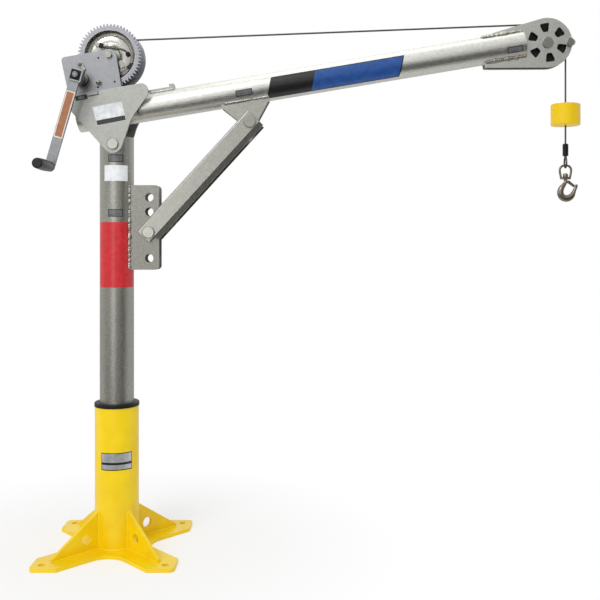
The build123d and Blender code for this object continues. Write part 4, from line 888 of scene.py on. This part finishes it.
FLOOR_REACH, FLOOR_WHITE = 12.0, 0.98
FLOOR_CORNERS = ((-1, -1), (1, -1), (1, 1), (-1, 1))
floor = flat_sheet("floor", [(x * FLOOR_REACH, y * FLOOR_REACH, 0) for x, y in FLOOR_CORNERS])
floor_material, tree, floor_shader = new_material("pale_floor", Roughness=0.9)
floor_shader.inputs["Base Color"].default_value = (FLOOR_WHITE, FLOOR_WHITE, FLOOR_WHITE, 1)
floor.data.materials.append(floor_material)
# The camera sees the floor mixed with pure white. The white's share grows from 0.45 near the mast, where the
# shadow lies, to all of it, between 0.3 m and 0.75 m from the mast's axis.
SHADOW_WHITE, SHADOW_REACH, WHITE_REACH = 0.45, 0.3, 0.75
where = add_node(tree, "ShaderNodeTexCoord").outputs["Object"]
reach = add_node(tree, "ShaderNodeVectorMath", {0: where}, operation="LENGTH").outputs["Value"]
far = spread(tree, reach, SHADOW_WHITE, 1.0, SHADOW_REACH, WHITE_REACH)
camera_ray = add_node(tree, "ShaderNodeLightPath").outputs["Is Camera Ray"]
seen = add_node(tree, "ShaderNodeMath", {0: far, 1: camera_ray}, operation="MULTIPLY")
white = add_node(tree, "ShaderNodeEmission", {"Color": (1, 1, 1, 1), "Strength": 1.0})
both = add_node(tree, "ShaderNodeMixShader", {0: seen.outputs[0], 1: floor_shader.outputs[0],
                                              2: white.outputs[0]})
tree.links.new(both.outputs[0], tree.nodes["Material Output"].inputs["Surface"])
print("floor reaches", FLOOR_REACH, "m")

# %% Dark cards
CARD_GREY = 0.06
dark_card, tree, card_shader = new_material("dark_card", Roughness=1.0)
card_shader.inputs["Base Color"].default_value = (CARD_GREY, CARD_GREY, CARD_GREY, 1)
CARDS = {
    "card_below": [(-5.0, -9.0, 0.004), (6.0, -9.0, 0.004), (6.0, -0.5, 0.004), (-5.0, -0.5, 0.004)],
    "card_right": [(1.9, -2.6, 0.0), (3.6, -1.45, 0.0), (3.6, -1.45, 2.6), (1.9, -2.6, 2.6)],
}
for name, corners in CARDS.items():
    card = flat_sheet(name, corners)
    card.data.materials.append(dark_card)
    card.visible_camera = card.visible_diffuse = card.visible_shadow = False
print("cards:", list(CARDS))

# %% World and lamps
world = bpy.data.worlds.new("studio")
bpy.context.scene.world = world
world.use_nodes = True
tree = world.node_tree
tree.nodes.clear()
path = add_node(tree, "ShaderNodeLightPath")
seen = add_node(tree, "ShaderNodeMath", {0: path.outputs["Is Camera Ray"], 1: path.outputs["Is Glossy Ray"]},
                operation="MAXIMUM")
seen = add_node(tree, "ShaderNodeMath", {0: seen.outputs[0], 1: path.outputs["Is Transmission Ray"]},
                operation="MAXIMUM")
plain = add_node(tree, "ShaderNodeBackground", {"Color": (1, 1, 1, 1), "Strength": 0.6})
white = add_node(tree, "ShaderNodeBackground", {"Color": (1, 1, 1, 1), "Strength": 1.0})
mixed = add_node(tree, "ShaderNodeMixShader", {0: seen.outputs[0], 1: plain.outputs[0], 2: white.outputs[0]})
add_node(tree, "ShaderNodeOutputWorld", {"Surface": mixed.outputs[0]})


def soft_lamp(name, place, target, width, height, power):
    """A rectangular area lamp that faces a target."""
    data = bpy.data.lights.new(name, "AREA")
    data.energy = power
    data.shape = "RECTANGLE"
    data.size, data.size_y = width, height
    lamp = bpy.data.objects.new(name, data)
    bpy.context.scene.collection.objects.link(lamp)
    lamp.location = place
    lamp.rotation_euler = (Vector(target) - lamp.location).to_track_quat("-Z", "Y").to_euler()
    return lamp


soft_lamp("key", (-1.2, -2.6, 3.4), (0.4, 0, 0.8), 1.6, 1.6, 50)
soft_lamp("top", (0.6, 0.4, 3.2), (0.5, 0, 0.8), 1.8, 1.8, 12)
soft_lamp("strip", (-0.5, -2.3, 0.75), (0.0, 0, 0.7), 0.1, 1.3, 6)
print("lamps:", [lamp.name for lamp in bpy.data.lights])

# %% View settings
bpy.context.scene.view_settings.view_transform = "Standard"
